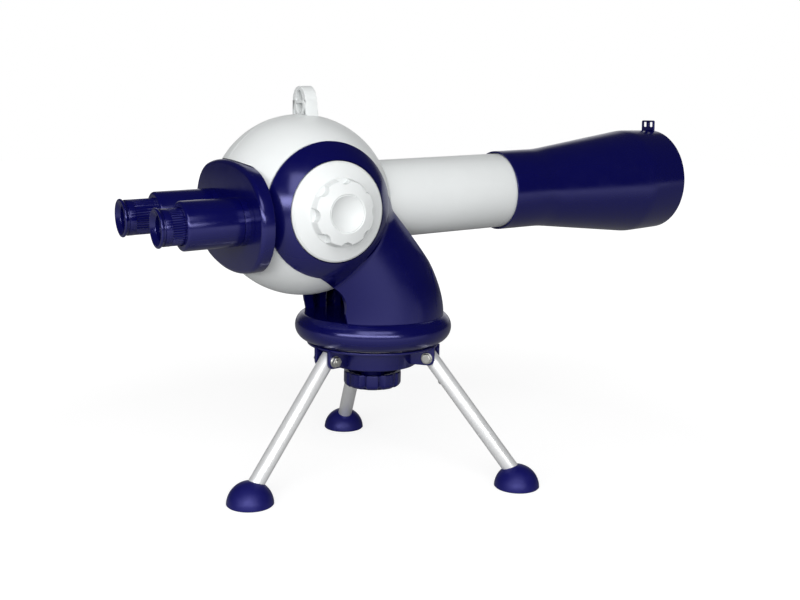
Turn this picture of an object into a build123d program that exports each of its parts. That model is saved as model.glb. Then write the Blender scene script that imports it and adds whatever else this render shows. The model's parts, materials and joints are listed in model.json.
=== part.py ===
from build123d import *
import os
from math import atan2, cos, degrees, radians, sin, sqrt, tan

# Table telescope with two eyepieces, in a fork on a three-legged stand.
# Millimetres, +Z up, +X towards the objective, origin on the table under the turning axis.

# Clearances
running_gap = 0.06        # shaft in its bore
seat_gap = 0.1            # fixed piece in its seat
clamp_gap = 0.3           # clamp faces, drawn slack
passing_gap = 0.5         # faces that move past each other

# Altitude axis, through the centre of the ball
altitude_axis_x = -71.0
altitude_axis_height = 242.0
rest_tilt = 2.5           # objective up

# Ball, two half shells that meet in the upright middle plane
ball_radius = 75.0
ball_wall = 3.0
ball_seam = 0.2
cheek_recess = 3.5        # the ears lie in round recesses of this depth
journal_radius = 11.0
journal_end = 74.0        # from the middle plane
journal_root = 60.0
bulkhead_thickness = 4.0
bulkhead_lap = 1.0        # behind the plate's seat, in the shell's wall
socket_wall = 3.4
socket_depth = 12.0
socket_lip = 3.0
socket_lip_width = 4.0

# Fork ears
ear_radius = 54.6
ear_wall = 3.0
ear_rim = 1.6
ear_dome_radius = 68.3

# Fork arms
drum_radius = 62.5
slot_half_width = 38.5    # room for the tube between the arms
arm_front_angle = 49.4    # front edge below the horizontal
arm_front_offset = 47.2   # front edge from the altitude axis
arm_front_round = 66.0
arm_rear_angle = 40.0
arm_rear_offset = 45.1
arm_rear_round = 38.0
edge_share = 0.95         # of an arm's upright edge that a round may take up
arm_swell = 7.0
arm_taper = 5.5           # narrowing of each arm from the drum to the ear
arm_lean = 0.8            # share of the axis offset that the arm's middle line reaches
arm_lean_power = 1.6
arm_sections = 5
arm_wall = 3.2
arm_lip = 0.8             # least thickness over the ball's room, next to the ear
arm_rib = 2.4
arm_rib_pitch = 15.0
arm_rib_count = 5
fork_screw_x = 22.5
fork_screw_y = 50.0
fork_screw_radius = 1.5
fork_screw_head_radius = 3.0
fork_screw_head_height = 2.2
fork_screw_depth = 12.0
fork_boss_radius = 3.6

# Collar
collar_radius = 69.2
collar_bulge = 13.0
collar_height = 24.2
collar_plate = 4.0
collar_cavity_radius = 50.0
spigot_radius = 14.0
spigot_depth = 9.2
insert_radius = 6.0
insert_length = 12.0

# Tripod head
washer_thickness = 1.0
washer_inner_radius = 18.0
washer_outer_radius = 54.0
head_disc_radius = 58.5
head_disc_thickness = 2.4
skirt_radius = 39.0
skirt_wall = 3.0
hub_radius = 20.0
hub_depth = 20.3          # below the top of the head
cheek_thickness = 3.0
cheek_reach = 6.5         # beyond the leg pivot
cheek_drop = 6.5          # below the leg pivot
cheek_round = 5.0

# Legs
leg_count = 3
first_leg_angle = -167.1
leg_pivot_radius = 52.5
leg_pivot_height = 110.0
pivot_cover = 8.4         # from the leg pivot up to the head's disc
leg_radius = 6.8
leg_wall = 1.0
leg_top = 3.6             # tube end above the pivot
leg_side_gap = 0.3        # tube to each cheek
foot_circle_radius = 133.9
foot_radius = 19.75
foot_grip_height = 9.0    # tube axis over the middle of the foot
foot_chamfer = 0.8
leg_end_height = 7.5      # middle of the lower tube end
plug_length = 34.0
rivet_drop = 24.0
rivet_radius = 1.5
rivet_head_radius = 2.4
rivet_head_height = 1.1
stop_pad_start = 3.0
stop_pad_end = 6.5
bolt_radius = 2.5
bolt_head_flats = 8.0
bolt_head_height = 3.5
bolt_flange_radius = 5.2
bolt_flange_thickness = 1.0
nut_height = 4.0

# Azimuth clamp
azimuth_knob_radius = 25.7
azimuth_knob_gap = 7.3    # from the hub down to the grip
azimuth_knob_height = 13.6
azimuth_knob_turn = -7.0  # at rest
azimuth_knob_round = 4.5
azimuth_neck_radius = 11.0
azimuth_cup_depth = 2.5
azimuth_cup_rim = 4.0
azimuth_cup_slope = 1.5
azimuth_notch_radius = 3.2
azimuth_notch_depth = 1.6
azimuth_screw_radius = 4.0
azimuth_screw_head_flats = 13.0
azimuth_screw_head_height = 5.3
azimuth_screw_cover = 3.0

# Altitude knobs
knob_lobes = 8
knob_turn = 9.5           # degrees, as left at rest
knob_flange_radius = 39.8
knob_rim_height = 3.2
knob_bevel = 1.6
knob_grip_radius = 29.3
knob_grip_draft = 7.0     # degrees
knob_grip_base = 73.0     # from the middle plane
knob_front = 84.0
knob_notch_radius = 7.0
knob_notch_depth = 3.4
knob_edge_round = 2.4
knob_corner_round = 3.0
knob_dish_radius = 16.0
knob_dish_depth = 3.0
stud_radius = 3.0
stud_head_radius = 6.0
stud_head_height = 4.0
knob_nut_flats = 10.0
knob_nut_height = 3.2

# Main tube, along the optical axis from the ball centre
tube_radius = 34.0
tube_wall = 2.0
tube_front = 240.0
baffle_place = 140.0
baffle_bore = 22.0
baffle_thickness = 2.0

# Hood
hood_rear = 199.5
hood_rear_radius = 36.2
hood_cone_start = 246.0
hood_cone_start_radius = 36.4
hood_cone_end = 354.0
hood_cone_end_radius = 50.2
hood_barrel_length = 40.0
hood_front_radius = 49.0
hood_wall = 2.6
hood_relief = 0.7
hood_relief_depth = 3.0
hood_edge_round = 2.2
hood_start_round = 120.0
hood_end_round = 60.0

# Objective
lens_radius = 35.5
lens_edge = 3.5
lens_front_sag = 3.4
lens_rear_sag = 1.6
cell_setback = 8.0        # behind the end of the cone
cell_length = 16.0
cell_bore = 33.0
cell_step = 7.5
ring_length = 3.0
ring_width = 2.0

# Front sight, a small frame with two windows
front_sight_setback = 5.0  # behind the hood's front
front_sight_width = 16.5
front_sight_height = 9.8
front_sight_thickness = 2.2
front_sight_bar = 1.6
front_sight_post = 3.4
front_sight_window = 4.8   # height

# Rear sight, an arch with an oval eye
rear_sight_rear = 1.5
rear_sight_length = 10.5
rear_sight_half_width = 12.5
rear_sight_height = 22.6
rear_sight_flare = 1.5
eye_half_width = 6.4
eye_half_height = 9.6
eye_bar = 2.4

# Eyepiece plate
plate_gap = 0.8           # to the ears as they pass
plate_half_width = 71.6
plate_half_height = 45.2
plate_end_round = 41.0
plate_thickness = 10.9
plate_edge_round = 2.0
plate_drop = 4.35         # middle of the plate under the optical axis
plate_roll = 2.5
plate_recess_gap = 2.6    # round the plate where it sinks into the ball
plate_spigot_radius = 38.0
eye_spacing = 62.0
light_bore = 12.5
plate_screw_radius = 1.5
plate_screw_head_radius = 2.8
plate_screw_head_height = 2.0
plate_screw_circle = 43.0
plate_screw_length = 10.0

# Eyepiece holders
holder_radius = 19.25
holder_end = 116.4        # behind the ball centre
holder_seat = 2.0
holder_lip = 3.0
holder_edge_round = 2.0

# Eyepieces
eyepiece_radius = 14.4
eyepiece_length = 48.0
eyepiece_wall = 2.0
eyepiece_flange_radius = 15.4
eyepiece_flange_length = 2.0
eyepiece_neck_depth = 1.0
eyepiece_neck_length = 2.2
eyepiece_opening = 9.5
eyepiece_dish = 3.0
right_eyepiece_end = 135.3
left_eyepiece_end = 143.9
eye_lens_depth = 8.0
eye_lens_edge = 3.0
eye_lens_sag = 1.4
field_lens_depth = 4.0

# Light splitter
tray_half_width = 42.0
tray_thickness = 3.0
tray_front = 18.0
optics_half_height = 13.0
splitter_apex = 14.0
splitter_half_width = 22.0
mirror_length = 28.0
mirror_thickness = 3.0

# Places worked out from the sizes above
cheek_radius = ball_radius - cheek_recess
ear_inner_radius = cheek_radius + passing_gap
ear_seat_radius = ear_inner_radius + ear_wall
ledge_radius = ear_radius + passing_gap
ledge_offset = sqrt(ball_radius**2 - ledge_radius**2)
ear_rim_bottom = ledge_offset + passing_gap
ear_rim_top = ear_rim_bottom + ear_rim
ear_dome_centre = ear_rim_top - sqrt(ear_dome_radius**2 - ear_radius**2)
knob_recess_radius = knob_flange_radius + plate_gap
knob_under_radius = ear_seat_radius + clamp_gap
plate_front = -(ear_radius + plate_gap)
plate_back = plate_front - plate_thickness
bulkhead_front = plate_front + bulkhead_thickness
eye_offset = eye_spacing / 2
head_disc_bottom = leg_pivot_height + pivot_cover
head_top = head_disc_bottom + head_disc_thickness
hub_bottom = head_top - hub_depth
collar_bottom = head_top + washer_thickness
collar_top = collar_bottom + collar_height
azimuth_grip_top = hub_bottom - azimuth_knob_gap
azimuth_knob_bottom = azimuth_grip_top - azimuth_knob_height
hood_front = hood_cone_end + hood_barrel_length
cell_place = hood_cone_end - cell_setback - cell_length
front_sight_place = hood_front - front_sight_setback
leg_rise = leg_pivot_height - foot_grip_height
leg_lean = degrees(atan2(foot_circle_radius - leg_pivot_radius, leg_rise))
leg_length = (leg_pivot_height - leg_end_height) / cos(radians(leg_lean))
cheek_inner = leg_radius + leg_side_gap
cheek_outer = cheek_inner + cheek_thickness
leg_angles = [first_leg_angle + 360 / leg_count * n for n in range(leg_count)]
sides = {"left": 1, "right": -1}
eyepiece_ends = {"left": left_eyepiece_end, "right": right_eyepiece_end}
arm_base_half = sqrt(drum_radius**2 - slot_half_width**2)


# Helpers

def face_of(*curves):
    """Flat face inside a closed run of lines and arcs."""
    return make_face(Curve() + list(curves))


def polygon(*points):
    return make_face(Polyline(*points, close=True))


def bar(axis, radius, start, end):
    """Round bar along X, Y or Z from start to end."""
    turn = {"X": Rot(0, 90, 0), "Y": Rot(-90, 0, 0), "Z": Rot(0, 0, 0)}[axis]
    return turn * Pos(0, 0, (start + end) / 2) * Cylinder(radius, end - start)


def hexagon(axis, flats, start, end):
    """Hexagonal bar along Y or Z from start to end."""
    turn = {"Y": Rot(-90, 0, 0), "Z": Rot(0, 0, 0)}[axis]
    outline = RegularPolygon(flats / 2, 6, major_radius=False)
    return turn * Pos(0, 0, start) * extrude(outline, end - start)


def block(x0, x1, y0, y1, z0, z1):
    return Pos((x0 + x1) / 2, (y0 + y1) / 2, (z0 + z1) / 2) * Box(x1 - x0, y1 - y0, z1 - z0)


def cap_height(radius, rho):
    return sqrt(radius**2 - rho**2)


def cap_arc(radius, rho_start, rho_end, centre=0):
    """Arc of a sphere's section about the Y axis, from one distance off the axis to another."""
    stops = (rho_start, (rho_start + rho_end) / 2, rho_end)
    return ThreePointArc(*[(rho, centre + cap_height(radius, rho)) for rho in stops])


def crown_radius(radius, sag):
    return (sag**2 + radius**2) / (2 * sag)


def crown_rise(radius, sag, rho):
    """Rise of a crowned face over its edge, at a distance off its axis."""
    curve = crown_radius(radius, sag)
    return sag - curve + sqrt(curve**2 - rho**2)


def lens(edge_start, radius, edge, front_sag, rear_sag):
    """Lens about X with both faces crowned, its edge starting at edge_start."""
    edge_end = edge_start + edge
    half = radius / 2
    front_half = edge_end + crown_rise(radius, front_sag, half)
    rear_half = edge_start - crown_rise(radius, rear_sag, half)
    section = face_of(
        Line((edge_start - rear_sag, 0), (edge_end + front_sag, 0)),
        ThreePointArc((edge_end + front_sag, 0), (front_half, half), (edge_end, radius)),
        Line((edge_end, radius), (edge_start, radius)),
        ThreePointArc((edge_start, radius), (rear_half, half), (edge_start - rear_sag, 0)),
    )
    return revolve(section, Axis.X)


def lobed(radius, notch_radius, notch_depth, corner_round):
    """Round outline with evenly spaced rounded notches."""
    place = radius + notch_radius - notch_depth
    outline = Circle(radius) - PolarLocations(place, knob_lobes) * Circle(notch_radius)
    return fillet(outline.vertices(), corner_round)


def on_telescope(shape):
    return Pos(altitude_axis_x, 0, altitude_axis_height) * Rot(0, -rest_tilt, 0) * shape


def at_plate(shape):
    """From the plate's own middle to the ball's frame."""
    return Pos(0, 0, -plate_drop) * Rot(plate_roll, 0, 0) * shape


def to_side(shape, side):
    """A piece drawn on the left side, or its mirror image on the right."""
    return shape if side > 0 else mirror(shape, about=Plane.XZ)


def on_leg(shape, angle):
    """From a leg hanging straight down from its pivot to its place."""
    return at_leg(Pos(leg_pivot_radius, 0, leg_pivot_height) * Rot(0, -leg_lean, 0) * shape, angle)


def at_leg(shape, angle):
    return Rot(0, 0, angle) * shape


# Tripod

def stop_pad():
    """Pad under the disc that the end of the open leg comes up against."""
    reach = leg_top + passing_gap
    pad = block(stop_pad_start, stop_pad_end, -leg_radius, leg_radius, reach, reach + leg_radius)
    pad = Pos(leg_pivot_radius, 0, leg_pivot_height) * Rot(0, -leg_lean, 0) * pad
    room = 2 * drum_radius
    return pad & block(-room, room, -room, room, 0, head_top)


def leg_cheeks():
    outer = leg_pivot_radius + cheek_reach
    bottom = leg_pivot_height - cheek_drop
    inner = skirt_radius - skirt_wall / 2
    outline = make_face(FilletPolyline(
        (inner, head_disc_bottom + head_disc_thickness / 2),
        (outer, head_disc_bottom + head_disc_thickness / 2),
        (outer, bottom),
        (leg_pivot_radius - cheek_reach, bottom),
        (inner, hub_bottom),
        radius=(0, cheek_round / 4, cheek_round, cheek_round, 0), close=True))
    cheek = extrude(Plane.XZ * outline, cheek_thickness)
    pair = Pos(0, -cheek_inner, 0) * cheek + Pos(0, cheek_outer, 0) * cheek
    hole = bar("Y", bolt_radius + seat_gap, -cheek_outer - 1, cheek_outer + 1)
    return pair - Pos(leg_pivot_radius, 0, leg_pivot_height) * hole


def tripod_head():
    """Disc on a round skirt, with a hub inside and a pair of cheeks for each leg."""
    head = bar("Z", skirt_radius, hub_bottom, head_top)
    head -= bar("Z", skirt_radius - skirt_wall, hub_bottom - 1, head_disc_bottom)
    head += bar("Z", hub_radius, hub_bottom, head_top)
    head += bar("Z", head_disc_radius, head_disc_bottom, head_top)
    for angle in leg_angles:
        head += at_leg(leg_cheeks() + stop_pad(), angle)
    head -= bar("Z", spigot_radius + running_gap, head_top - spigot_depth, head_top + collar_plate)
    head -= bar("Z", azimuth_screw_radius + running_gap, hub_bottom - 1, head_top)
    return head


def clevis_bolt(angle):
    head_side = -cheek_outer
    bolt = bar("Y", bolt_radius, head_side, cheek_outer + nut_height + 1)
    bolt += hexagon("Y", bolt_head_flats, head_side - bolt_head_height, head_side)
    bolt += bar("Y", bolt_flange_radius, head_side - bolt_flange_thickness, head_side)
    return at_leg(Pos(leg_pivot_radius, 0, leg_pivot_height) * bolt, angle)


def clevis_nut(angle):
    nut = hexagon("Y", bolt_head_flats, cheek_outer, cheek_outer + nut_height)
    nut += bar("Y", bolt_flange_radius, cheek_outer, cheek_outer + bolt_flange_thickness)
    nut -= bar("Y", bolt_radius + running_gap, cheek_outer - 1, cheek_outer + nut_height + 1)
    return at_leg(Pos(leg_pivot_radius, 0, leg_pivot_height) * nut, angle)


def friction_washer():
    ring = bar("Z", washer_outer_radius, head_top, collar_bottom)
    return ring - bar("Z", washer_inner_radius, head_top - 1, collar_bottom + 1)


# Legs

def pivot_hole():
    return bar("Y", bolt_radius + running_gap, -2 * leg_radius, 2 * leg_radius)


def rivet_hole():
    """Rivet on the under side of the open leg, square to the tube."""
    return Pos(0, 0, -rivet_drop) * bar("X", rivet_radius + seat_gap, -2 * leg_radius, 0)


def leg_tube():
    tube = bar("Z", leg_radius, -leg_length, leg_top)
    tube -= bar("Z", leg_radius - leg_wall, -leg_length - 1, leg_top + 1)
    return tube - pivot_hole() - rivet_hole()


def leg_plug():
    plug = bar("Z", leg_radius - leg_wall - seat_gap, leg_top - plug_length, leg_top - leg_wall)
    return plug - pivot_hole() - rivet_hole()


def leg_rivet():
    head_flat = -leg_radius
    shank = bar("X", rivet_radius, head_flat, -leg_radius / 3)
    dome_radius = (rivet_head_radius**2 + rivet_head_height**2) / (2 * rivet_head_height)
    dome_centre = head_flat - rivet_head_height + dome_radius
    dome = Pos(dome_centre, 0, 0) * Sphere(dome_radius)
    seat = bar("Z", leg_radius + seat_gap / 2, -foot_radius, foot_radius)
    cap = (dome & bar("X", rivet_head_radius, head_flat - foot_radius, 0)) - seat
    return Pos(0, 0, -rivet_drop) * (shank + cap)


def leg_foot():
    """Dome with a flat sole and a slanting socket for the tube."""
    dome = Pos(foot_circle_radius, 0, 0) * Sphere(foot_radius)
    dome &= Pos(foot_circle_radius, 0, foot_radius) * Box(2 * foot_radius, 2 * foot_radius, 2 * foot_radius)
    dome = chamfer(dome.edges().group_by(Axis.Z)[0], foot_chamfer)
    socket = bar("Z", leg_radius + seat_gap, -leg_length, 0)
    return dome - on_leg(socket, 0)


# Azimuth clamp

def azimuth_screw():
    head_bottom = azimuth_knob_bottom + azimuth_screw_cover
    head_top_face = head_bottom + azimuth_screw_head_height
    tip = collar_bottom + insert_length
    screw = bar("Z", azimuth_screw_radius, head_bottom, tip)
    return screw + hexagon("Z", azimuth_screw_head_flats, head_bottom, head_top_face)


def azimuth_knob():
    """Cup with a rounded lower edge, wide lobes between narrow notches and a neck up to the hub."""
    cup_floor = azimuth_grip_top - azimuth_cup_depth
    cup_radius = azimuth_knob_radius - azimuth_cup_rim
    neck_end = hub_bottom - clamp_gap
    section = make_face(FilletPolyline(
        (0, azimuth_knob_bottom), (azimuth_knob_radius, azimuth_knob_bottom),
        (azimuth_knob_radius, azimuth_grip_top), (cup_radius, azimuth_grip_top),
        (cup_radius - azimuth_cup_slope, cup_floor), (azimuth_neck_radius, cup_floor),
        (azimuth_neck_radius, neck_end), (0, neck_end),
        radius=(0, azimuth_knob_round, 0, 0, 0, 0, 0, 0), close=True))
    knob = revolve(Plane.XZ * section, Axis.Z)
    notch = bar("Z", azimuth_notch_radius, azimuth_knob_bottom - 1, azimuth_grip_top + 1)
    notch_place = azimuth_knob_radius + azimuth_notch_radius - azimuth_notch_depth
    knob -= PolarLocations(notch_place, knob_lobes, start_angle=azimuth_knob_turn) * notch
    head_bottom = azimuth_knob_bottom + azimuth_screw_cover
    pocket = hexagon("Z", azimuth_screw_head_flats + 2 * seat_gap, azimuth_knob_bottom - 1,
                     head_bottom + azimuth_screw_head_height)
    bore = bar("Z", azimuth_screw_radius + seat_gap, head_bottom, hub_bottom)
    return knob - pocket - bore


# Fork

def fork_screw_places():
    return [(x, fork_screw_y) for x in (-fork_screw_x, fork_screw_x)]


def base_collar():
    bulge_centre = collar_radius - collar_bulge
    middle = collar_bottom + collar_bulge
    shoulder = bulge_centre + sqrt(collar_bulge**2 - (collar_top - middle) ** 2)
    spigot_end = collar_bottom - spigot_depth + passing_gap + washer_thickness
    section = face_of(
        Polyline((bulge_centre, collar_bottom), (collar_cavity_radius, collar_bottom),
                 (collar_cavity_radius, collar_top - collar_plate),
                 (spigot_radius, collar_top - collar_plate),
                 (spigot_radius, spigot_end), (0, spigot_end), (0, collar_top), (shoulder, collar_top)),
        ThreePointArc((shoulder, collar_top), (collar_radius, middle), (bulge_centre, collar_bottom)),
    )
    collar = revolve(Plane.XZ * section, Axis.Z)
    collar -= bar("Z", insert_radius + seat_gap, collar_bottom, collar_bottom + insert_length + collar_plate)
    collar -= bar("Z", azimuth_screw_radius + running_gap, spigot_end - 1, collar_bottom + 1)
    head_place = collar_top - collar_plate
    for x, y in fork_screw_places():
        for side in sides.values():
            collar -= Pos(x, side * y, 0) * bar("Z", fork_screw_radius + seat_gap, head_place, collar_top + 1)
            collar -= Pos(x, side * y, 0) * bar("Z", fork_screw_head_radius + seat_gap, collar_bottom - 1,
                                                head_place)
    return collar


def azimuth_insert():
    sleeve = bar("Z", insert_radius, collar_bottom, collar_bottom + insert_length)
    return sleeve - bar("Z", azimuth_screw_radius + running_gap, collar_bottom - 1,
                        collar_bottom + insert_length + 1)


def fork_screw(x, y):
    head_place = collar_top - collar_plate
    screw = bar("Z", fork_screw_radius, head_place - 1, collar_top + fork_screw_depth)
    screw += bar("Z", fork_screw_head_radius, head_place - fork_screw_head_height, head_place)
    return Pos(x, y, 0) * screw


def edge_limited(radius, edge, slope):
    """Radius of a round between an upright edge and a slope, no larger than the edge has room for."""
    return min(radius, edge_share * edge / tan(radians(90 - slope) / 2))


def arm_side_outline():
    """Side view of an arm: upright at the collar, leaning back to the ear."""
    front_turn = radians(arm_front_angle)
    rear_turn = radians(arm_rear_angle)
    reach = arm_base_half - altitude_axis_x
    front_corner = altitude_axis_height + (arm_front_offset - reach * sin(front_turn)) / cos(front_turn)
    rear_reach = -arm_base_half - altitude_axis_x
    rear_corner = altitude_axis_height - (arm_rear_offset + rear_reach * sin(rear_turn)) / cos(rear_turn)
    front_foot = (altitude_axis_x + arm_front_offset * sin(front_turn),
                  altitude_axis_height + arm_front_offset * cos(front_turn))
    rear_foot = (altitude_axis_x - arm_rear_offset * sin(rear_turn),
                 altitude_axis_height - arm_rear_offset * cos(rear_turn))
    front_round = edge_limited(arm_front_round, front_corner - collar_top, arm_front_angle)
    rear_round = edge_limited(arm_rear_round, rear_corner - collar_top, arm_rear_angle)
    return make_face(FilletPolyline(
        (arm_base_half, collar_top), (arm_base_half, front_corner), front_foot, rear_foot,
        (-arm_base_half, rear_corner), (-arm_base_half, collar_top),
        radius=(0, front_round, 0, 0, rear_round, 0), close=True))


def arm_body(inset):
    """Leaning drum through level ellipses, taken in by the inset all round."""
    rings = []
    for n in range(arm_sections):
        share = n / (arm_sections - 1)
        height = collar_top + share * (altitude_axis_height - collar_top)
        middle = arm_lean * altitude_axis_x * share**arm_lean_power
        half_length = drum_radius + arm_swell * (1 - (1 - share) ** 2) - inset
        half_width = drum_radius - arm_taper * share - inset
        rings.append(Pos(middle, 0, height) * Ellipse(half_length, half_width))
    return loft(rings)


def arm_skin(ball_room):
    """Skin over the ball's room that carries the arm up to its ear, below the altitude axis."""
    radius = ball_room + arm_lip
    skin = Sphere(radius) & block(-radius, radius, 0, radius, -radius, 0)
    return Pos(altitude_axis_x, 0, altitude_axis_height) * skin


def ear():
    """Domed ring about the altitude axis, with the knob's seat and the journal's bore."""
    bore = journal_radius + running_gap
    rim_inner = sqrt(ear_inner_radius**2 - ear_rim_bottom**2)
    section = face_of(
        cap_arc(ear_inner_radius, rim_inner, bore),
        Line((bore, cap_height(ear_inner_radius, bore)), (bore, cap_height(ear_seat_radius, bore))),
        cap_arc(ear_seat_radius, bore, knob_recess_radius),
        Line((knob_recess_radius, cap_height(ear_seat_radius, knob_recess_radius)),
             (knob_recess_radius, ear_dome_centre + cap_height(ear_dome_radius, knob_recess_radius))),
        cap_arc(ear_dome_radius, knob_recess_radius, ear_radius, ear_dome_centre),
        Polyline((ear_radius, ear_rim_top), (ear_radius, ear_rim_bottom), (rim_inner, ear_rim_bottom)),
    )
    return Pos(altitude_axis_x, 0, altitude_axis_height) * revolve(section, Axis.Y)


def fork_half():
    """Left half: hollow ribbed arm with its ear."""
    outline = Plane.XZ * arm_side_outline()
    arm_depth = drum_radius - slot_half_width
    slab = Pos(0, slot_half_width, 0) * extrude(outline, -arm_depth)
    centre = Pos(altitude_axis_x, 0, altitude_axis_height)
    ball_room = ball_radius + passing_gap
    pocket_outline = offset(outline, -arm_wall)
    pocket = Pos(0, slot_half_width - 1, 0) * extrude(pocket_outline, -arm_depth)
    pocket &= arm_body(arm_wall)
    pocket -= centre * Sphere(ball_room + arm_wall)
    first_rib = -arm_rib_pitch * (arm_rib_count - 1) / 2
    for n in range(arm_rib_count):
        x = first_rib + n * arm_rib_pitch
        pocket -= block(x - arm_rib / 2, x + arm_rib / 2, slot_half_width + 1, drum_radius,
                        collar_top, altitude_axis_height)
    boss_top = collar_top + fork_screw_depth + arm_wall
    for x, y in fork_screw_places():
        pocket -= Pos(x, y, 0) * bar("Z", fork_boss_radius, collar_top, boss_top)
    half = (slab & (arm_body(0) + arm_skin(ball_room))) - centre * Sphere(ball_room) - pocket
    for x, y in fork_screw_places():
        half -= Pos(x, y, 0) * bar("Z", fork_screw_radius + seat_gap, collar_top - 1,
                                   collar_top + fork_screw_depth + 1)
    return half + ear()


# Altitude knobs

def altitude_knob():
    """Left knob, drawn about the Y axis through the ball centre."""
    rim_bottom = cap_height(knob_under_radius, knob_flange_radius)
    rim_top = rim_bottom + knob_rim_height
    flange = polygon(
        (0, rim_bottom - knob_bevel), (knob_flange_radius, rim_bottom - knob_bevel),
        (knob_flange_radius, rim_top), (knob_flange_radius - knob_bevel, rim_top + knob_bevel),
        (knob_grip_radius, knob_grip_base), (0, knob_grip_base))
    grip_start = knob_grip_base - knob_bevel
    grip_height = knob_front - grip_start
    front_radius = knob_grip_radius - grip_height * tan(radians(knob_grip_draft))
    outlines = [lobed(radius, knob_notch_radius, knob_notch_depth, knob_corner_round)
                for radius in (knob_grip_radius, front_radius)]
    grip = loft([outlines[0], Pos(0, 0, grip_height) * outlines[1]], ruled=True)
    grip = fillet(grip.edges().group_by(Axis.Z)[-1], knob_edge_round)
    grip = Rot(0, -knob_turn, 0) * Rot(-90, 0, 0) * Pos(0, 0, grip_start) * grip
    knob = revolve(flange, Axis.Y) + grip
    knob -= Sphere(knob_under_radius)
    dish_curve = (knob_dish_radius**2 + knob_dish_depth**2) / (2 * knob_dish_depth)
    knob -= Pos(0, knob_front - knob_dish_depth + dish_curve, 0) * Sphere(dish_curve)
    nut_end = knob_under_radius + clamp_gap + knob_nut_height
    return knob - hexagon("Y", knob_nut_flats + 2 * seat_gap, 0, nut_end)


def knob_nut():
    start = knob_under_radius + clamp_gap
    nut = hexagon("Y", knob_nut_flats, start, start + knob_nut_height)
    return nut - bar("Y", stud_radius + running_gap, start - 1, start + knob_nut_height + 1)


def altitude_stud():
    start = journal_root
    tip = knob_under_radius + clamp_gap + knob_nut_height - clamp_gap
    return bar("Y", stud_radius, start, tip) + bar("Y", stud_head_radius, start, start + stud_head_height)


# Ball

def ball_half_shell():
    """Left half: stepped sphere with its journal, turned about the altitude axis."""
    seam = ball_seam / 2
    inner_radius = ball_radius - ball_wall
    cheek_inner_radius = cheek_radius - ball_wall
    inner_ledge = ledge_offset - ball_wall
    section = face_of(
        cap_arc(ball_radius, sqrt(ball_radius**2 - seam**2), ledge_radius),
        Line((ledge_radius, ledge_offset), (sqrt(cheek_radius**2 - ledge_offset**2), ledge_offset)),
        cap_arc(cheek_radius, sqrt(cheek_radius**2 - ledge_offset**2), journal_radius),
        Polyline((journal_radius, cap_height(cheek_radius, journal_radius)), (journal_radius, journal_end),
                 (0, journal_end), (0, journal_root), (journal_radius, journal_root),
                 (journal_radius, cap_height(cheek_inner_radius, journal_radius))),
        cap_arc(cheek_inner_radius, journal_radius, sqrt(cheek_inner_radius**2 - inner_ledge**2)),
        Line((sqrt(cheek_inner_radius**2 - inner_ledge**2), inner_ledge),
             (sqrt(inner_radius**2 - inner_ledge**2), inner_ledge)),
        cap_arc(inner_radius, sqrt(inner_radius**2 - inner_ledge**2), sqrt(inner_radius**2 - seam**2)),
        Line((sqrt(inner_radius**2 - seam**2), seam), (sqrt(ball_radius**2 - seam**2), seam)),
    )
    shell = revolve(section, Axis.Y)
    shell -= bar("Y", stud_radius + seat_gap, 0, ball_radius)
    return shell - bar("Y", stud_head_radius + seat_gap, 0, journal_root + stud_head_height)


def plate_outline(grow):
    """Oval of four arcs, taken out by grow all round."""
    a = plate_half_width + grow
    b = plate_half_height + grow
    r = plate_end_round + grow
    big = ((a - r) ** 2 + b**2 - r**2) / (2 * (b - r))
    tx = (a - r) * (1 + r / (big - r))
    tz = r * (big - b) / (big - r)
    return face_of(
        ThreePointArc((-tx, tz), (0, b), (tx, tz)),
        ThreePointArc((tx, tz), (a, 0), (tx, -tz)),
        ThreePointArc((tx, -tz), (0, -b), (-tx, -tz)),
        ThreePointArc((-tx, -tz), (-a, 0), (-tx, tz)),
    )


def plate_screw_spots():
    return [(plate_screw_circle * cos(radians(angle)), plate_screw_circle * sin(radians(angle)))
            for angle in (60, 120, 240, 300)]


def light_ways(radius, start, end):
    """Two bars along X through the eyepiece axes."""
    way = bar("X", radius, start, end)
    return Pos(0, eye_offset, 0) * way + Pos(0, -eye_offset, 0) * way


def ball_half(side):
    """Half shell with its share of the bulkhead and of the tube socket."""
    socket_end = sqrt(ball_radius**2 - tube_radius**2)
    socket_start = socket_end - socket_depth
    socket_outer = tube_radius + socket_wall
    bulkhead_back = plate_front - bulkhead_lap
    disc_radius = sqrt(ball_radius**2 - bulkhead_back**2) - seat_gap
    inner = bar("X", disc_radius, bulkhead_back, bulkhead_front)
    inner += bar("X", socket_outer, socket_start, sqrt(ball_radius**2 - socket_outer**2) - seat_gap)
    seam = side * ball_seam / 2
    inner &= block(-ball_radius, ball_radius, min(seam, side * ball_radius), max(seam, side * ball_radius),
                   -ball_radius, ball_radius)
    half = to_side(ball_half_shell(), side) + inner
    half -= bar("X", tube_radius + seat_gap, socket_start + socket_lip, ball_radius)
    half -= bar("X", tube_radius - socket_lip_width, socket_start - 1, ball_radius)
    recess = plate_outline(plate_recess_gap)
    pocket = extrude(Plane.YZ.offset(plate_front - ball_radius) * recess, ball_radius)
    half -= at_plate(pocket)
    half -= at_plate(bar("X", plate_spigot_radius + seat_gap, plate_front - 1, bulkhead_front + 1))
    half -= at_plate(light_ways(light_bore + clamp_gap, plate_front - 1, bulkhead_front + 1))
    for y, z in plate_screw_spots():
        half -= at_plate(Pos(0, y, z) * bar("X", plate_screw_radius + seat_gap, plate_front - 1,
                                            bulkhead_front + 1))
    return half


# Tube, hood and objective

def main_tube():
    start = sqrt(ball_radius**2 - tube_radius**2) - socket_depth + socket_lip
    tube = bar("X", tube_radius, start, tube_front)
    return tube - bar("X", tube_radius - tube_wall, start - 1, tube_front + 1)


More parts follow.
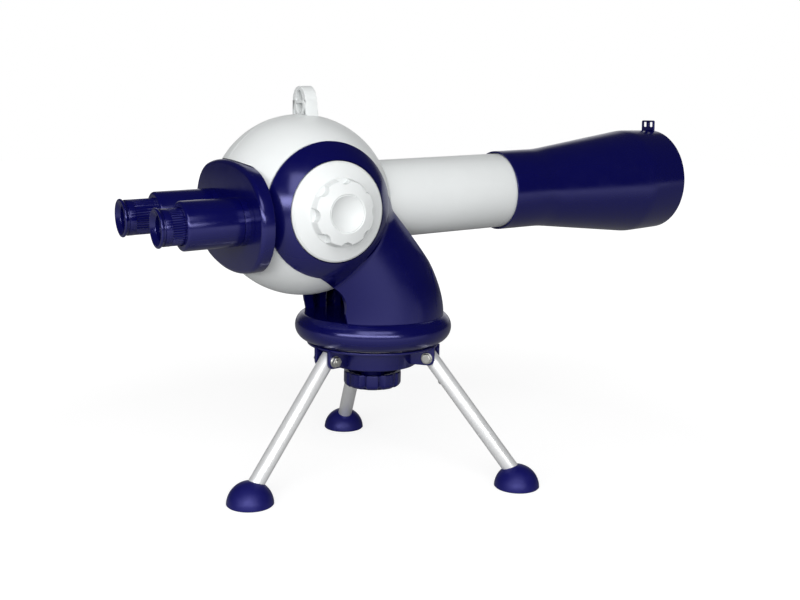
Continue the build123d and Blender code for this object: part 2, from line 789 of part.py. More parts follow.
def tube_baffle():
    ring = bar("X", tube_radius - tube_wall - seat_gap, baffle_place, baffle_place + baffle_thickness)
    return ring - bar("X", baffle_bore, baffle_place - 1, baffle_place + baffle_thickness + 1)


def hood_bore(x):
    """Inner radius of the hood's cone."""
    slope = (hood_cone_end_radius - hood_wall - tube_radius) / (hood_cone_end - hood_cone_start)
    return tube_radius + seat_gap + slope * (x - hood_cone_start)


def hood():
    """Flared hood, turned about the optical axis: sleeve, cone and slightly tapered barrel."""
    sleeve = tube_radius + seat_gap
    section = make_face(FilletPolyline(
        (hood_rear, hood_rear_radius), (hood_cone_start, hood_cone_start_radius),
        (hood_cone_end, hood_cone_end_radius), (hood_front, hood_front_radius),
        (hood_front, hood_front_radius - hood_wall),
        (hood_cone_end, hood_bore(hood_cone_end)), (hood_cone_start, sleeve),
        (hood_rear + hood_relief_depth, sleeve), (hood_rear, sleeve + hood_relief),
        radius=(0, hood_start_round, hood_end_round, hood_edge_round, 0, hood_end_round, 0, 0, 0),
        close=True))
    return revolve(section, Axis.X)


def lens_cell():
    end = cell_place + cell_length
    step = cell_place + cell_step
    section = polygon(
        (cell_place, cell_bore), (cell_place, hood_bore(cell_place) - seat_gap),
        (end, hood_bore(end) - seat_gap), (end, lens_radius + seat_gap),
        (step, lens_radius + seat_gap), (step, cell_bore))
    return revolve(section, Axis.X)


def lens_edge_start():
    """Where the objective's edge starts when its rear crown rests on the cell's step."""
    return cell_place + cell_step + crown_rise(lens_radius, lens_rear_sag, cell_bore)


def objective_lens():
    return lens(lens_edge_start(), lens_radius, lens_edge, lens_front_sag, lens_rear_sag)


def lens_ring():
    """Thin ring that holds the objective in its cell."""
    start = lens_edge_start() + lens_edge
    ring = bar("X", lens_radius, start, start + ring_length)
    ring -= bar("X", lens_radius - ring_width, start - 1, start + ring_length + 1)
    curve = crown_radius(lens_radius, lens_front_sag)
    return ring - Pos(start + lens_front_sag - curve, 0, 0) * Sphere(curve)


# Sights

def front_sight():
    """Small frame with two windows, let down to the hood's top."""
    rise = hood_front_radius - (hood_front_radius - hood_cone_end_radius) * (
        (hood_front - front_sight_place) / (hood_front - hood_cone_end))
    half = front_sight_width / 2
    top = rise + front_sight_height
    deep = rise - 2 * front_sight_bar
    outline = make_face(FilletPolyline(
        (half, deep), (half, top), (-half, top), (-half, deep),
        radius=(0, front_sight_bar, front_sight_bar, 0), close=True))
    window_width = half - front_sight_bar - front_sight_post / 2
    window = RectangleRounded(window_width, front_sight_window, front_sight_bar / 2)
    middle = top - front_sight_bar - front_sight_window / 2
    for way in (-1, 1):
        outline -= Pos(way * (window_width + front_sight_post) / 2, middle) * window
    frame = extrude(Plane.YZ.offset(front_sight_place) * outline, front_sight_thickness)
    barrel = face_of(
        Polyline((hood_cone_end, 0), (hood_cone_end, hood_cone_end_radius), (hood_front, hood_front_radius),
                 (hood_front, 0), (hood_cone_end, 0)))
    return frame - revolve(barrel, Axis.X)


def rear_sight():
    """Arch on the ball with a tall oval eye, a cross bar and two corner gaps."""
    base = sqrt(ball_radius**2 - rear_sight_half_width**2) - rear_sight_flare
    top = ball_radius + rear_sight_height
    crown = top - rear_sight_half_width
    half = rear_sight_half_width
    outline = face_of(
        Polyline((-half, crown), (-half - rear_sight_flare, base), (half + rear_sight_flare, base),
                 (half, crown)),
        ThreePointArc((half, crown), (0, top), (-half, crown)))
    wall = (half - eye_half_width) / 2
    eye_middle = top - wall - eye_half_height
    eye = Pos(0, eye_middle) * Ellipse(eye_half_width, eye_half_height)
    eye -= Pos(0, eye_middle) * Rectangle(2 * half, eye_bar)
    outline -= eye
    gap_top = eye_middle - eye_half_height / 2
    for way in (-1, 1):
        outline -= polygon((way * (half - wall / 2), base - 1), (way * (half - wall), gap_top),
                           (way * wall, base - 1))
    arch = extrude(Plane.YZ.offset(rear_sight_rear) * outline, rear_sight_length)
    return arch - Rot(90, 0, 0) * Sphere(ball_radius)


# Eyepiece plate, holders and eyepieces

def eyepiece_plate():
    plate = extrude(Plane.YZ.offset(plate_back) * plate_outline(0), plate_thickness)
    plate = fillet(plate.edges().group_by(Axis.X)[0], plate_edge_round)
    plate += bar("X", plate_spigot_radius, plate_front, bulkhead_front)
    plate -= light_ways(light_bore, plate_back - 1, bulkhead_front + 1)
    plate -= light_ways(holder_radius + seat_gap, plate_back - 1, plate_back + holder_seat)
    reach = plate_front - plate_screw_length + bulkhead_thickness
    for y, z in plate_screw_spots():
        plate -= Pos(0, y, z) * bar("X", plate_screw_radius + seat_gap, reach - 1, bulkhead_front)
    return plate


def plate_screw(y, z):
    screw = bar("X", plate_screw_radius, bulkhead_front - plate_screw_length, bulkhead_front + 1)
    screw += bar("X", plate_screw_head_radius, bulkhead_front, bulkhead_front + plate_screw_head_height)
    return Pos(0, y, z) * screw


def holder(side):
    start = plate_back + holder_seat
    tube = bar("X", holder_radius, -holder_end, start)
    tube = fillet(tube.edges().group_by(Axis.X)[0], holder_edge_round)
    tube -= bar("X", eyepiece_radius + running_gap, -holder_end - 1, start - holder_lip)
    tube -= bar("X", light_bore, -holder_end, start + 1)
    return Pos(0, side * eye_offset, 0) * tube


def eyepiece(name, side):
    """Turned barrel with a dished eye end."""
    end = -eyepiece_ends[name]
    inner_end = end + eyepiece_length
    bore = eyepiece_radius - eyepiece_wall
    shoulder = end + eye_lens_depth
    flange = end + eyepiece_flange_length
    neck = eyepiece_radius - eyepiece_neck_depth
    neck_end = flange + eyepiece_neck_length
    rim = eyepiece_flange_radius - eyepiece_wall
    section = make_face(FilletPolyline(
        (end, rim), (end, eyepiece_flange_radius), (flange, eyepiece_flange_radius),
        (flange, neck), (neck_end, neck), (neck_end, eyepiece_radius), (inner_end, eyepiece_radius),
        (inner_end, bore), (shoulder, bore), (shoulder, eyepiece_opening),
        (end + eyepiece_dish, eyepiece_opening),
        radius=(0, eyepiece_wall / 2, eyepiece_wall / 4, 0, 0, 0, 0, 0, 0, 0, 0), close=True))
    return Pos(0, side * eye_offset, 0) * revolve(section, Axis.X)


def eyepiece_glass():
    return eyepiece_radius - eyepiece_wall - seat_gap


def eye_lens(name, side):
    """Lens at the eye, resting on the shoulder of the barrel."""
    rise = crown_rise(eyepiece_glass(), eye_lens_sag, eyepiece_opening)
    start = -eyepiece_ends[name] + eye_lens_depth + rise
    glass = lens(start, eyepiece_glass(), eye_lens_edge, eye_lens_sag, eye_lens_sag)
    return Pos(0, side * eye_offset, 0) * glass


def field_lens(name, side):
    """Lens near the inner end of the barrel."""
    start = -eyepiece_ends[name] + eyepiece_length - field_lens_depth - eye_lens_edge
    glass = lens(start, eyepiece_glass(), eye_lens_edge, eye_lens_sag, eye_lens_sag)
    return Pos(0, side * eye_offset, 0) * glass


# Light splitter

def optics_tray():
    """Floor for the prism and mirrors, with an upright wall against the bulkhead."""
    floor = -optics_half_height
    tray = block(bulkhead_front, tray_front, -tray_half_width, tray_half_width, floor - tray_thickness, floor)
    tray += block(bulkhead_front, bulkhead_front + tray_thickness, -tray_half_width, tray_half_width,
                  floor - tray_thickness, optics_half_height)
    return tray - light_ways(light_bore - 1, bulkhead_front - 1, bulkhead_front + tray_thickness + 1)


def splitter_prism():
    rear = splitter_apex - splitter_half_width
    outline = polygon((splitter_apex, 0), (rear, splitter_half_width), (rear, -splitter_half_width))
    return Pos(0, 0, -optics_half_height) * extrude(outline, 2 * optics_half_height)


def side_mirror(side):
    plate = Box(mirror_length, mirror_thickness, 2 * optics_half_height)
    rear = splitter_apex - splitter_half_width / 2
    return Pos(rear - eye_offset / 3, side * eye_offset, 0) * Rot(0, 0, -45 * side) * plate


# Write every piece

def group(solids):
    return Part() + list(solids)


def main():
    pieces = {
        "tripod_head": tripod_head(),
        "clevis_bolts": group(clevis_bolt(angle) for angle in leg_angles),
        "clevis_nuts": group(clevis_nut(angle) for angle in leg_angles),
        "friction_washer": friction_washer(),
        "azimuth_knob": azimuth_knob(),
        "azimuth_screw": azimuth_screw(),
        "base_collar": base_collar(),
        "azimuth_insert": azimuth_insert(),
        "fork_screws": group(fork_screw(x, side * y) for x, y in fork_screw_places()
                             for side in sides.values()),
        "main_tube": on_telescope(main_tube()),
        "tube_baffle": on_telescope(tube_baffle()),
        "hood": on_telescope(hood()),
        "lens_cell": on_telescope(lens_cell()),
        "objective_lens": on_telescope(objective_lens()),
        "lens_ring": on_telescope(lens_ring()),
        "front_sight": on_telescope(front_sight()),
        "rear_sight": on_telescope(rear_sight()),
        "eyepiece_plate": on_telescope(at_plate(eyepiece_plate())),
        "plate_screws": group(on_telescope(at_plate(plate_screw(y, z))) for y, z in plate_screw_spots()),
        "optics_tray": on_telescope(at_plate(optics_tray())),
        "splitter_prism": on_telescope(at_plate(splitter_prism())),
    }
    for number, angle in enumerate(leg_angles, 1):
        pieces[f"leg_tube_{number}"] = on_leg(leg_tube(), angle)
        pieces[f"leg_plug_{number}"] = on_leg(leg_plug(), angle)
        pieces[f"leg_rivet_{number}"] = on_leg(leg_rivet(), angle)
        pieces[f"leg_foot_{number}"] = at_leg(leg_foot(), angle)
    for name, side in sides.items():
        pieces[f"fork_{name}"] = to_side(fork_half(), side)
        pieces[f"ball_{name}"] = on_telescope(ball_half(side))
        pieces[f"altitude_stud_{name}"] = on_telescope(to_side(altitude_stud(), side))
        pieces[f"altitude_knob_{name}"] = on_telescope(to_side(altitude_knob(), side))
        pieces[f"knob_nut_{name}"] = on_telescope(to_side(knob_nut(), side))
        pieces[f"holder_{name}"] = on_telescope(at_plate(holder(side)))
        pieces[f"eyepiece_{name}"] = on_telescope(at_plate(eyepiece(name, side)))
        pieces[f"eye_lens_{name}"] = on_telescope(at_plate(eye_lens(name, side)))
        pieces[f"field_lens_{name}"] = on_telescope(at_plate(field_lens(name, side)))
        pieces[f"side_mirror_{name}"] = on_telescope(at_plate(side_mirror(side)))
    os.makedirs("parts", exist_ok=True)
    for node, shape in pieces.items():
        export_step(shape, f"parts/{node}.step")


main()
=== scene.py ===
import json
from math import atan2, cos, degrees, hypot, pi, radians, sin, sqrt

import bmesh
import bpy
import numpy as np
from mathutils import Matrix

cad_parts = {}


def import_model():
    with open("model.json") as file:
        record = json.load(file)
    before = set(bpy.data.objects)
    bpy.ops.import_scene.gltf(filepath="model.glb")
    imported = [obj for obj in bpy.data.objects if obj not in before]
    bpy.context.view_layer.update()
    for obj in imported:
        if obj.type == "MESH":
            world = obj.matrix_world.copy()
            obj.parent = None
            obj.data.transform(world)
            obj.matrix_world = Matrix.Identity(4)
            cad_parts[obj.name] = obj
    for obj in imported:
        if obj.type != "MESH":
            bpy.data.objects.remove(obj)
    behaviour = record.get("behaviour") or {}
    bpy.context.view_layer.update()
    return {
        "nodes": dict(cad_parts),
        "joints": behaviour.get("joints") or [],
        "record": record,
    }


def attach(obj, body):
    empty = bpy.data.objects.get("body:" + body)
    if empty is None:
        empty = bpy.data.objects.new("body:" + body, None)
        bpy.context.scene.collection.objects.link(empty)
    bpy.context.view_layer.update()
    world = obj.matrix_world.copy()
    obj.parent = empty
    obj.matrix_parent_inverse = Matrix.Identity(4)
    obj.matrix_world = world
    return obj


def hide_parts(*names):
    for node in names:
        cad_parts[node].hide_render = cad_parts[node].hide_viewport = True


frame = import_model()

# Table telescope with two eyepieces: looks of every piece, around the fixed frame.
# Sizes are in millimetres and meshes in metres.

MM = 0.001
crease_angle = 32.0

# Places taken from the frame
joints = {joint["name"]: joint for joint in frame["joints"]}
mounts = {mount["name"]: mount for mount in frame["record"]["mounts"]}
axis_x, _, axis_z = np.array(joints["altitude_tilt"]["pos_m"]) / MM
slide_way = joints["eyepiece_left_slide"]["axis"]
rest_tilt = degrees(atan2(-slide_way[2], -slide_way[0]))
leg_numbers = (1, 2, 3)
sides = {"left": 1, "right": -1}

# Clearances
passing_gap = 0.5
clamp_gap = 0.3
plate_gap = 0.8
seat_gap = 0.1

# Ball
ball_radius = 75.0
ball_wall = 3.0
ball_lining_start = 40.0   # degrees from the cross axis
ball_seam = 0.2
seam_round = 0.5
cheek_radius = 71.5
journal_radius = 11.0
journal_root = 60.0
journal_end = 74.0
bulkhead_lap = 1.0
bulkhead_thickness = 5.0
bulkhead_edge_gap = 1.5

# Fork
ear_radius = 54.6
ear_wall = 3.0
ear_rim = 1.6
ear_dome_radius = 68.3
drum_radius = 62.5
slot_half_width = 38.5
arm_edge = 2.2            # least thickness of an arm's edges at the collar
arm_tip_edge = 0.8        # the same under the ear
arm_lip = 0.8             # skin over the ball's room
arm_blend = 4.0           # width of the soft join of drum and skin
arm_top_radius = 50.0     # the arm ends under the ear, this far from the cross axis
arm_tip_reach = 6.0       # or this far from its edge's foot point, where the edge passes further out
arm_edge_shift = 30.0     # furthest that an edge moves in
arm_wall = 3.2
arm_front_angle = 49.4
arm_front_offset = 47.2
arm_front_round = 66.0
arm_rear_angle = 30.0
arm_rear_offset = 50.8
arm_rear_round = 23.0
arm_round_share = 0.95    # most of the upright edge that a round takes up
arm_swell = 7.0
arm_taper = 5.5
arm_lean = 0.8
arm_lean_power = 1.6
arm_rib = 5.5
arm_rib_pitch = 15.0
arm_rib_count = 5
arm_rib_least = 1.0       # least depth of a rib, and how far it stays back from the slot

# Collar
collar_radius = 69.2
collar_bulge = 13.0
collar_bottom = 121.8
collar_top = 146.0
collar_plate = 4.0
collar_cavity_radius = 50.0
spigot_radius = 14.0
spigot_end = 114.1
spigot_floor = 111.6

# Tripod head and legs
head_top = 120.8
head_disc_radius = 58.5
head_disc_thickness = 2.4
skirt_radius = 39.0
skirt_wall = 3.0
hub_radius = 20.0
hub_bottom = 100.5
cheek_thickness = 3.0
cheek_reach = 6.5
cheek_drop = 6.5
cheek_round = 5.0
leg_radius = 6.8
leg_wall = 1.0
leg_top = 3.6
leg_side_gap = 0.3
leg_end_height = 7.5
foot_radius = 19.75
foot_grip_height = 9.0
foot_chamfer = 0.8
bolt_radius = 2.5
bolt_head_flats = 8.0
bolt_head_height = 3.5
bolt_flange_radius = 5.2
bolt_flange_thickness = 1.0
bolt_lap = 0.4
bolt_past_nut = 1.0
nut_height = 4.0

# Knobs
knob_lobes = 8
azimuth_knob_radius = 25.7
azimuth_knob_bottom = 79.6
azimuth_knob_height = 13.6
azimuth_knob_turn = 6.5
azimuth_knob_lobes = 10
azimuth_knob_round = 4.5
azimuth_neck_radius = 11.0
azimuth_cup_depth = 6.0
azimuth_cup_rim = 4.0
azimuth_cup_slope = 1.5
azimuth_notch_radius = 3.6
azimuth_notch_depth = 1.5
azimuth_notch_softness = 0.45
azimuth_notch_heights = (0, 0.45, 1)       # shares of the knob's height
azimuth_notch_shares = (2.2, 1.0, 0.9)     # of the notch's depth at those heights
azimuth_screw_radius = 4.0
azimuth_screw_pocket_flats = 13.2
azimuth_screw_pocket_depth = 8.3
knob_bore = 6.0
knob_flange_radius = 39.8
knob_rim_height = 3.2
knob_bevel = 1.6
knob_turn = 0.0
knob_grip_radius = 26.8
knob_front_radius = 25.4
knob_grip_base = 73.0
knob_shoulder = 80.6
knob_front = 84.0
knob_notch_radius = 6.0
knob_notch_depth = 3.0
knob_notch_lift = 0.4
knob_edge_round = 1.6
knob_foot_round = 2.0
knob_dish_radius = 15.0
knob_dish_depth = 4.7
knob_dish_lip = 0.8
knob_dish_slope = 2.0

# Tube, hood and objective, along the optical axis from the ball's centre
tube_radius = 34.0
tube_wall = 2.0
tube_start = 58.0
tube_front = 240.0
tube_hole_gap = 0.5
hood_rear = 199.5
hood_front = 394.0
hood_rear_radius = 36.2
hood_cone_start = 246.0
hood_cone_start_radius = 36.4
hood_cone_end = 354.0
hood_cone_end_radius = 50.2
hood_front_radius = 49.0
hood_wall = 2.6
hood_relief = 0.7
hood_relief_depth = 3.0
hood_edge_round = 2.2
hood_start_round = 120.0
hood_end_round = 60.0
lens_radius = 35.5
lens_edge_start = 337.7
lens_edge = 3.5
lens_front_sag = 3.4
lens_rear_sag = 1.6
cell_place = 330.0
cell_length = 16.0
cell_bore = 33.0
cell_step = 7.5
cell_gap = 0.5
ring_length = 3.0
ring_width = 2.0
ring_dish = 0.4

# Eyepiece plate, holders and eyepieces
plate_half_width = 71.6
plate_half_height = 45.2
plate_end_round = 41.0
plate_thickness = 10.9
plate_edge_round = 3.2
plate_drop = 4.35
plate_roll = 2.5
plate_recess_gap = 0.5
eye_offset = 31.0
holder_radius = 19.25
holder_end = 116.4
holder_seat = 2.0
holder_edge_round = 2.0
holder_groove_place = 4.5
holder_groove = 0.4
holder_groove_depth = 0.9
eyepiece_radius = 14.4
eyepiece_length = 48.0
eyepiece_wall = 2.0
eyepiece_flange_radius = 15.4
eyepiece_flange_length = 2.0
eyepiece_opening = 9.5
eyepiece_dish = 3.0
eyepiece_neck = 1.0
eyepiece_neck_length = 2.2
grip_start = 9.6
grip_length = 18.0
grip_ribs = 44
grip_depth = 0.55
grip_lead = 0.4
grip_drop = 0.1
eye_lens_depth = 8.0
eye_lens_seat = 0.6
eye_lens_edge = 3.0
eye_lens_sag = 1.4
eyepiece_ends = {"left": 143.9, "right": 135.3}

# Studio: camera, floor, backdrop and lamps
camera_place = (-447.2, -790.1, 315.8)
camera_aim = (27.3, 0.0, 154.3)
camera_roll = 1.16
camera_lens = 46.855
camera_film = 36.0
floor_reach = 6000.0
floor_colour = "#a0a0a0"
floor_lift_near = 0.78
floor_lift_far = 1.0
floor_lift_start = 350.0
floor_lift_end = 1100.0
# Painted pool of lamp light: the floor's own glow, seen only in mirrored rays, is strongest in front
floor_mirrored_behind = 0.05
floor_mirrored_front = 0.55
floor_front_start = 50.0
floor_front_end = 450.0
floor_front_fade = 1050.0
floor_front_gone = 1400.0
floor_front_left = 0.15
world_strength = 0.34
backdrop_way = np.array((0.515, 0.857, 0.0))
backdrop_edge = 0.8
backdrop_full = 1.0
room_level = 0.04
lamp_aim = (20, 0, 200)
softboxes = (     # name, place, width, height, watts
    ("key_softbox", (-800, -1000, 1100), 700, 700, 5),
    ("strip_softbox", (-850, -1150, 500), 2800, 320, 21),
    ("top_softbox", (-220, -1150, 1050), 500, 500, 2.5),
)

# Places worked out from the sizes above
plate_front = -(ear_radius + plate_gap)
plate_back = plate_front - plate_thickness
ledge_radius = ear_radius + passing_gap
ledge_offset = sqrt(ball_radius**2 - ledge_radius**2)
ear_inner_radius = cheek_radius + passing_gap
ear_seat_radius = ear_inner_radius + ear_wall
ear_rim_bottom = ledge_offset + passing_gap
ear_rim_top = ear_rim_bottom + ear_rim
ear_dome_centre = ear_rim_top - sqrt(ear_dome_radius**2 - ear_radius**2)
knob_recess_radius = knob_flange_radius + plate_gap
knob_under_radius = ear_seat_radius + clamp_gap
cheek_inner = leg_radius + leg_side_gap
cheek_outer = cheek_inner + cheek_thickness


# Outlines and profiles

def rounded(points, radii, steps=8):
    """Closed outline with rounded corners. An arc touches both edges of its corner at the radius over the
    tangent of half the corner's angle, and its points go evenly round its centre from touch to touch."""
    corner = np.array(points, float)
    radius = np.broadcast_to(np.array(radii, float), len(corner))
    before = np.roll(corner, 1, 0) - corner
    after = np.roll(corner, -1, 0) - corner
    before /= np.linalg.norm(before, axis=1)[:, None]
    after /= np.linalg.norm(after, axis=1)[:, None]
    half = np.arccos(np.clip((before * after).sum(1), -1, 1)) / 2
    middle = before + after
    middle /= np.linalg.norm(middle, axis=1)[:, None]
    centre = corner + middle * (radius / np.sin(half))[:, None]
    first = corner + before * (radius / np.tan(half))[:, None] - centre
    last = corner + after * (radius / np.tan(half))[:, None] - centre
    sweep = (pi - 2 * half)[:, None]
    share = np.linspace(0, 1, steps)[None, :]
    early = (np.sin((1 - share) * sweep) / np.sin(sweep))[..., None]
    late = (np.sin(share * sweep) / np.sin(sweep))[..., None]
    return distinct((centre[:, None] + early * first[:, None] + late * last[:, None]).reshape(-1, 2))


def distinct(points):
    """The points without those that repeat the one before."""
    step = np.linalg.norm(points - np.roll(points, 1, 0), axis=1)
    return points[step > 1e-6]


def arc(centre, radius, start, end, steps=24):
    """Points round a centre at one radius, evenly from the start angle to the end angle in degrees."""
    turn = np.radians(np.linspace(start, end, steps))
    return np.stack([centre[0] + radius * np.cos(turn), centre[1] + radius * np.sin(turn)], -1)


def cap_line(radius, rho_start, rho_end, centre=0.0, steps=24):
    """Section of a sphere about its turning axis, as (along, off the axis): evenly spaced angles between the
    two distances off the axis, along = centre + radius x cosine, off the axis = radius x sine."""
    turn = np.linspace(np.arcsin(rho_start / radius), np.arcsin(rho_end / radius), steps)
    return np.stack([centre + radius * np.cos(turn), radius * np.sin(turn)], -1)


def section(start, end, inner, outer):
    """Four corners of a straight ring's or rod's section, as (along, off the axis)."""
    return [(start, inner), (start, outer), (end, outer), (end, inner)]


def oval(half_width, half_height, end_round, steps=40):
    """Oval of four arcs that touch: two small ends of the given radius and two large arcs over the middle."""
    reach = half_width - end_round
    large = (reach**2 + half_height**2 - end_round**2) / (2 * (half_height - end_round))
    turn = degrees(atan2(large - half_height, reach))
    end = arc((reach, 0), end_round, -turn, turn, steps)
    over = arc((0, half_height - large), large, turn, 180 - turn, steps)
    return distinct(np.concatenate([end, over, -end, -over]))


def lobe_line(turn, radius, notch_radius, notch_depth, lobes, softness):
    """Distance of a lobed outline from its middle: the nearer of the plain circle and of the notch circle's
    near side, blended by a soft minimum; beside a notch the second stands well outside."""
    place = radius + notch_radius - notch_depth
    pitch = 2 * pi / lobes
    off = (turn + pitch / 2) % pitch - pitch / 2
    inside = np.clip(notch_radius**2 - (place * np.sin(off)) ** 2, 0, None)
    near = place * np.cos(off) - np.sqrt(inside)
    near = np.where(inside > 0, near, near + softness * 6)
    return -softness * np.log(np.exp(-(near - radius) / softness) + 1) + radius


# Surfaces on grids

def turned(profile, sides_round=96, ring=None, weight=None):
    """Surface of revolution about X: a profile point (along, off the axis) goes round a circle. Where a ring
    of radius changes is given, the distance off the axis changes by the ring times the point's weight."""
    along, off = np.array(profile, float).T
    turn = np.linspace(0, 2 * pi, sides_round, endpoint=False)
    reach = np.repeat(off[:, None], sides_round, 1)
    if ring is not None:
        reach = reach + np.array(weight)[:, None] * ring[None, :]
    along = np.repeat(along[:, None], sides_round, 1)
    return np.stack([along, reach * np.cos(turn), reach * np.sin(turn)], -1)


def slab(outline, rows):
    """Plate with shaped edges: for each row (inset, height) the outline moves in along its normals by the
    inset and lies at that height."""
    way = np.roll(outline, -1, 0) - np.roll(outline, 1, 0)
    normal = np.stack([way[:, 1], -way[:, 0]], -1) / np.linalg.norm(way, axis=1)[:, None]
    inset, height = np.array(rows, float).T
    flat = outline[None] - inset[:, None, None] * normal[None]
    return np.concatenate([flat, np.broadcast_to(height[:, None, None], flat.shape[:2] + (1,))], -1)


def edge_rows(bottom, top, bottom_round, top_round, steps=6):
    """Rows of a slab with quarter-round edges: inset = radius x (1 - cosine), height from the edge in."""
    turn = np.linspace(0, pi / 2, steps)
    lower = np.stack([bottom_round * (1 - np.sin(turn)), bottom + bottom_round * (1 - np.cos(turn))], -1)
    upper = np.stack([top_round * (1 - np.cos(turn)), top - top_round * (1 - np.sin(turn))], -1)
    return np.concatenate([lower, upper])


def upright(grid):
    """From a turning axis along X to one along Z."""
    return grid[..., [1, 2, 0]]


def crosswise(grid, side):
    """From a turning axis along X to one along Y, outwards on one side."""
    return grid[..., [1, 0, 2]] * (1, side, 1)


def spun(points, axis, angle):
    """Points turned about the X, Y or Z axis by an angle in degrees."""
    first, second = {"X": (1, 2), "Y": (2, 0), "Z": (0, 1)}[axis]
    c, s = cos(radians(angle)), sin(radians(angle))
    moved = points.copy()
    moved[..., first] = c * points[..., first] - s * points[..., second]
    moved[..., second] = s * points[..., first] + c * points[..., second]
    return moved


def on_telescope(points):
    """From the ball's own frame to the part's: tilted at rest, at the cross axis."""
    return spun(points, "Y", -rest_tilt) + (axis_x, 0, axis_z)


def at_plate(points):
    """From the eyepiece plate's middle, rolled and below the ball's, to the part's frame."""
    return on_telescope(spun(points, "X", plate_roll) + (0, 0, -plate_drop))


class Leg:
    """Place of one leg: its pivot from the joint, its foot from the sole's mount."""

    def __init__(self, number):
        x, y, self.height = np.array(joints[f"leg_{number}_fold"]["pos_m"]) / MM
        foot_x, foot_y, _ = np.array(mounts[f"foot_{number}_sole"]["pos_m"]) / MM
        self.pivot = hypot(x, y)
        self.foot = hypot(foot_x, foot_y)
        self.turn = degrees(atan2(y, x))
        self.lean = degrees(atan2(self.foot - self.pivot, self.height - foot_grip_height))
        self.length = (self.height - leg_end_height) / cos(radians(self.lean))

    def along(self, points):
        """From a leg hanging straight down from its pivot to its place."""
        return self.around(spun(points, "Y", -self.lean) + (self.pivot, 0, self.height))

    def around(self, points):
        """From the leg's upright plane to its place round the stand."""
        return spun(points, "Z", self.turn)


# Meshes and pieces

def shell(grid, ring_rows=False, capped=False, paired=False):
    """Vertices and faces of a grid that closes along its columns, and along its rows where they form a ring.
    Its ends are capped by one face each, or by strips where a row's second half runs back by its first."""
    rows, columns = grid.shape[:2]
    index = np.arange(rows * columns).reshape(rows, columns)
    lower = index if ring_rows else index[:-1]
    upper = np.roll(index, -1, 0) if ring_rows else index[1:]
    quads = np.stack([lower, np.roll(lower, -1, 1), np.roll(upper, -1, 1), upper], -1).reshape(-1, 4)
    faces = [quads]
    if capped:
        faces += [index[:1, ::-1], index[-1:]]
    if paired:
        half = columns // 2
        there, back = index[[0, -1], :half], index[[0, -1], :half - 1:-1]
        faces += [np.stack([there[:, :-1], there[:, 1:], back[:, 1:], back[:, :-1]], -1).reshape(-1, 4)]
    return grid.reshape(-1, 3), faces


def mesh_of(name, shells):
    """One mesh of several shells, with doubles merged and faces outwards."""
    points = np.concatenate([vertices for vertices, _ in shells]) * MM
    starts = np.cumsum([0] + [len(vertices) for vertices, _ in shells])
    faces = [block + start for (_, blocks), start in zip(shells, starts) for block in blocks]
    corners = np.concatenate([block.ravel() for block in faces]).astype(np.int32)
    sizes = np.concatenate([np.full(len(block), block.shape[1]) for block in faces])
    mesh = bpy.data.meshes.new(name)
    mesh.vertices.add(len(points))
    mesh.vertices.foreach_set("co", points.ravel().astype(np.float32))
    mesh.loops.add(len(corners))
    mesh.loops.foreach_set("vertex_index", corners)
    mesh.polygons.add(len(sizes))
    mesh.polygons.foreach_set("loop_start", (np.cumsum(sizes) - sizes).astype(np.int32))
    mesh.update(calc_edges=True)
    merge(mesh)
    return mesh


def merge(mesh):
    """Merges doubles, drops faces that vanish with them and points left over on straight edges, and turns the
    faces outwards."""
    work = bmesh.new()
    work.from_mesh(mesh)
    bmesh.ops.remove_doubles(work, verts=work.verts, dist=1e-6)
    bmesh.ops.dissolve_degenerate(work, edges=work.edges, dist=1e-7)
    spare = [point for point in work.verts if len(point.link_edges) == 2 and point.calc_edge_angle() < 1e-3]
    bmesh.ops.dissolve_verts(work, verts=spare)
    bmesh.ops.recalc_face_normals(work, faces=work.faces)
    work.to_mesh(mesh)
    work.free()


def placed(name, data):
    """New object in the scene."""
    item = bpy.data.objects.new(name, data)
    bpy.context.scene.collection.objects.link(item)
    return item


def combine(piece, others, operation):
    """Joins closed shells to a piece or takes them out of it."""
    tools = []
    for other in others:
        tool = placed("tool", mesh_of("tool", [other]))
        step = piece.modifiers.new("step", "BOOLEAN")
        step.operation = operation
        step.object = tool
        step.solver = "EXACT"
        tools.append(tool)
    bpy.context.view_layer.update()
    done = piece.evaluated_get(bpy.context.evaluated_depsgraph_get())
    piece.data = bpy.data.meshes.new_from_object(done)
    piece.modifiers.clear()
    for tool in tools:
        bpy.data.objects.remove(tool)


def finish_piece(name, mesh, body, slot, node, bevel=0.0, joined=(), cutters=(), material=None):
    """Object at the origin, smooth up to the crease angle, with its edges broken, on its body, in place of
    its node. It has its slot's finish unless another material is given."""
    piece = placed(name, mesh)
    if joined:
        combine(piece, joined, "UNION")
    if cutters:
        combine(piece, cutters, "DIFFERENCE")
    if joined or cutters:
        merge(piece.data)
    piece.data.materials.clear()
    piece.data.materials.append(material or finishes[slot])
    piece.data.shade_smooth()
    piece.data.set_sharp_from_angle(angle=radians(crease_angle))
    if bevel:
        edge = piece.modifiers.new("broken_edges", "BEVEL")
        edge.width = bevel * MM
        edge.segments = 3
        edge.limit_method = "ANGLE"
        edge.angle_limit = radians(crease_angle)
        edge.harden_normals = True
    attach(piece, body)
    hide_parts(node)


def make(name, shells, body, slot, node, **more):
    """Piece of one or more shells."""
    finish_piece(name, mesh_of(name, shells), body, slot, node, **more)


def turned_part(name, profile, count, slot, node, hollow=True, **more):
    """Piece of the telescope turned about the optical axis, with an open bore where it is hollow."""
    grid = on_telescope(turned(profile, count))
    make(name, [shell(grid, ring_rows=hollow)], "telescope", slot, node, **more)


def dressed_copy(node, name, body, slot, bevel):
    """Merged copy of a small moulding from the frame, with broken edges."""
    mesh = frame["nodes"][node].data.copy()
    merge(mesh)
    finish_piece(name, mesh, body, slot, node, bevel)


# Materials

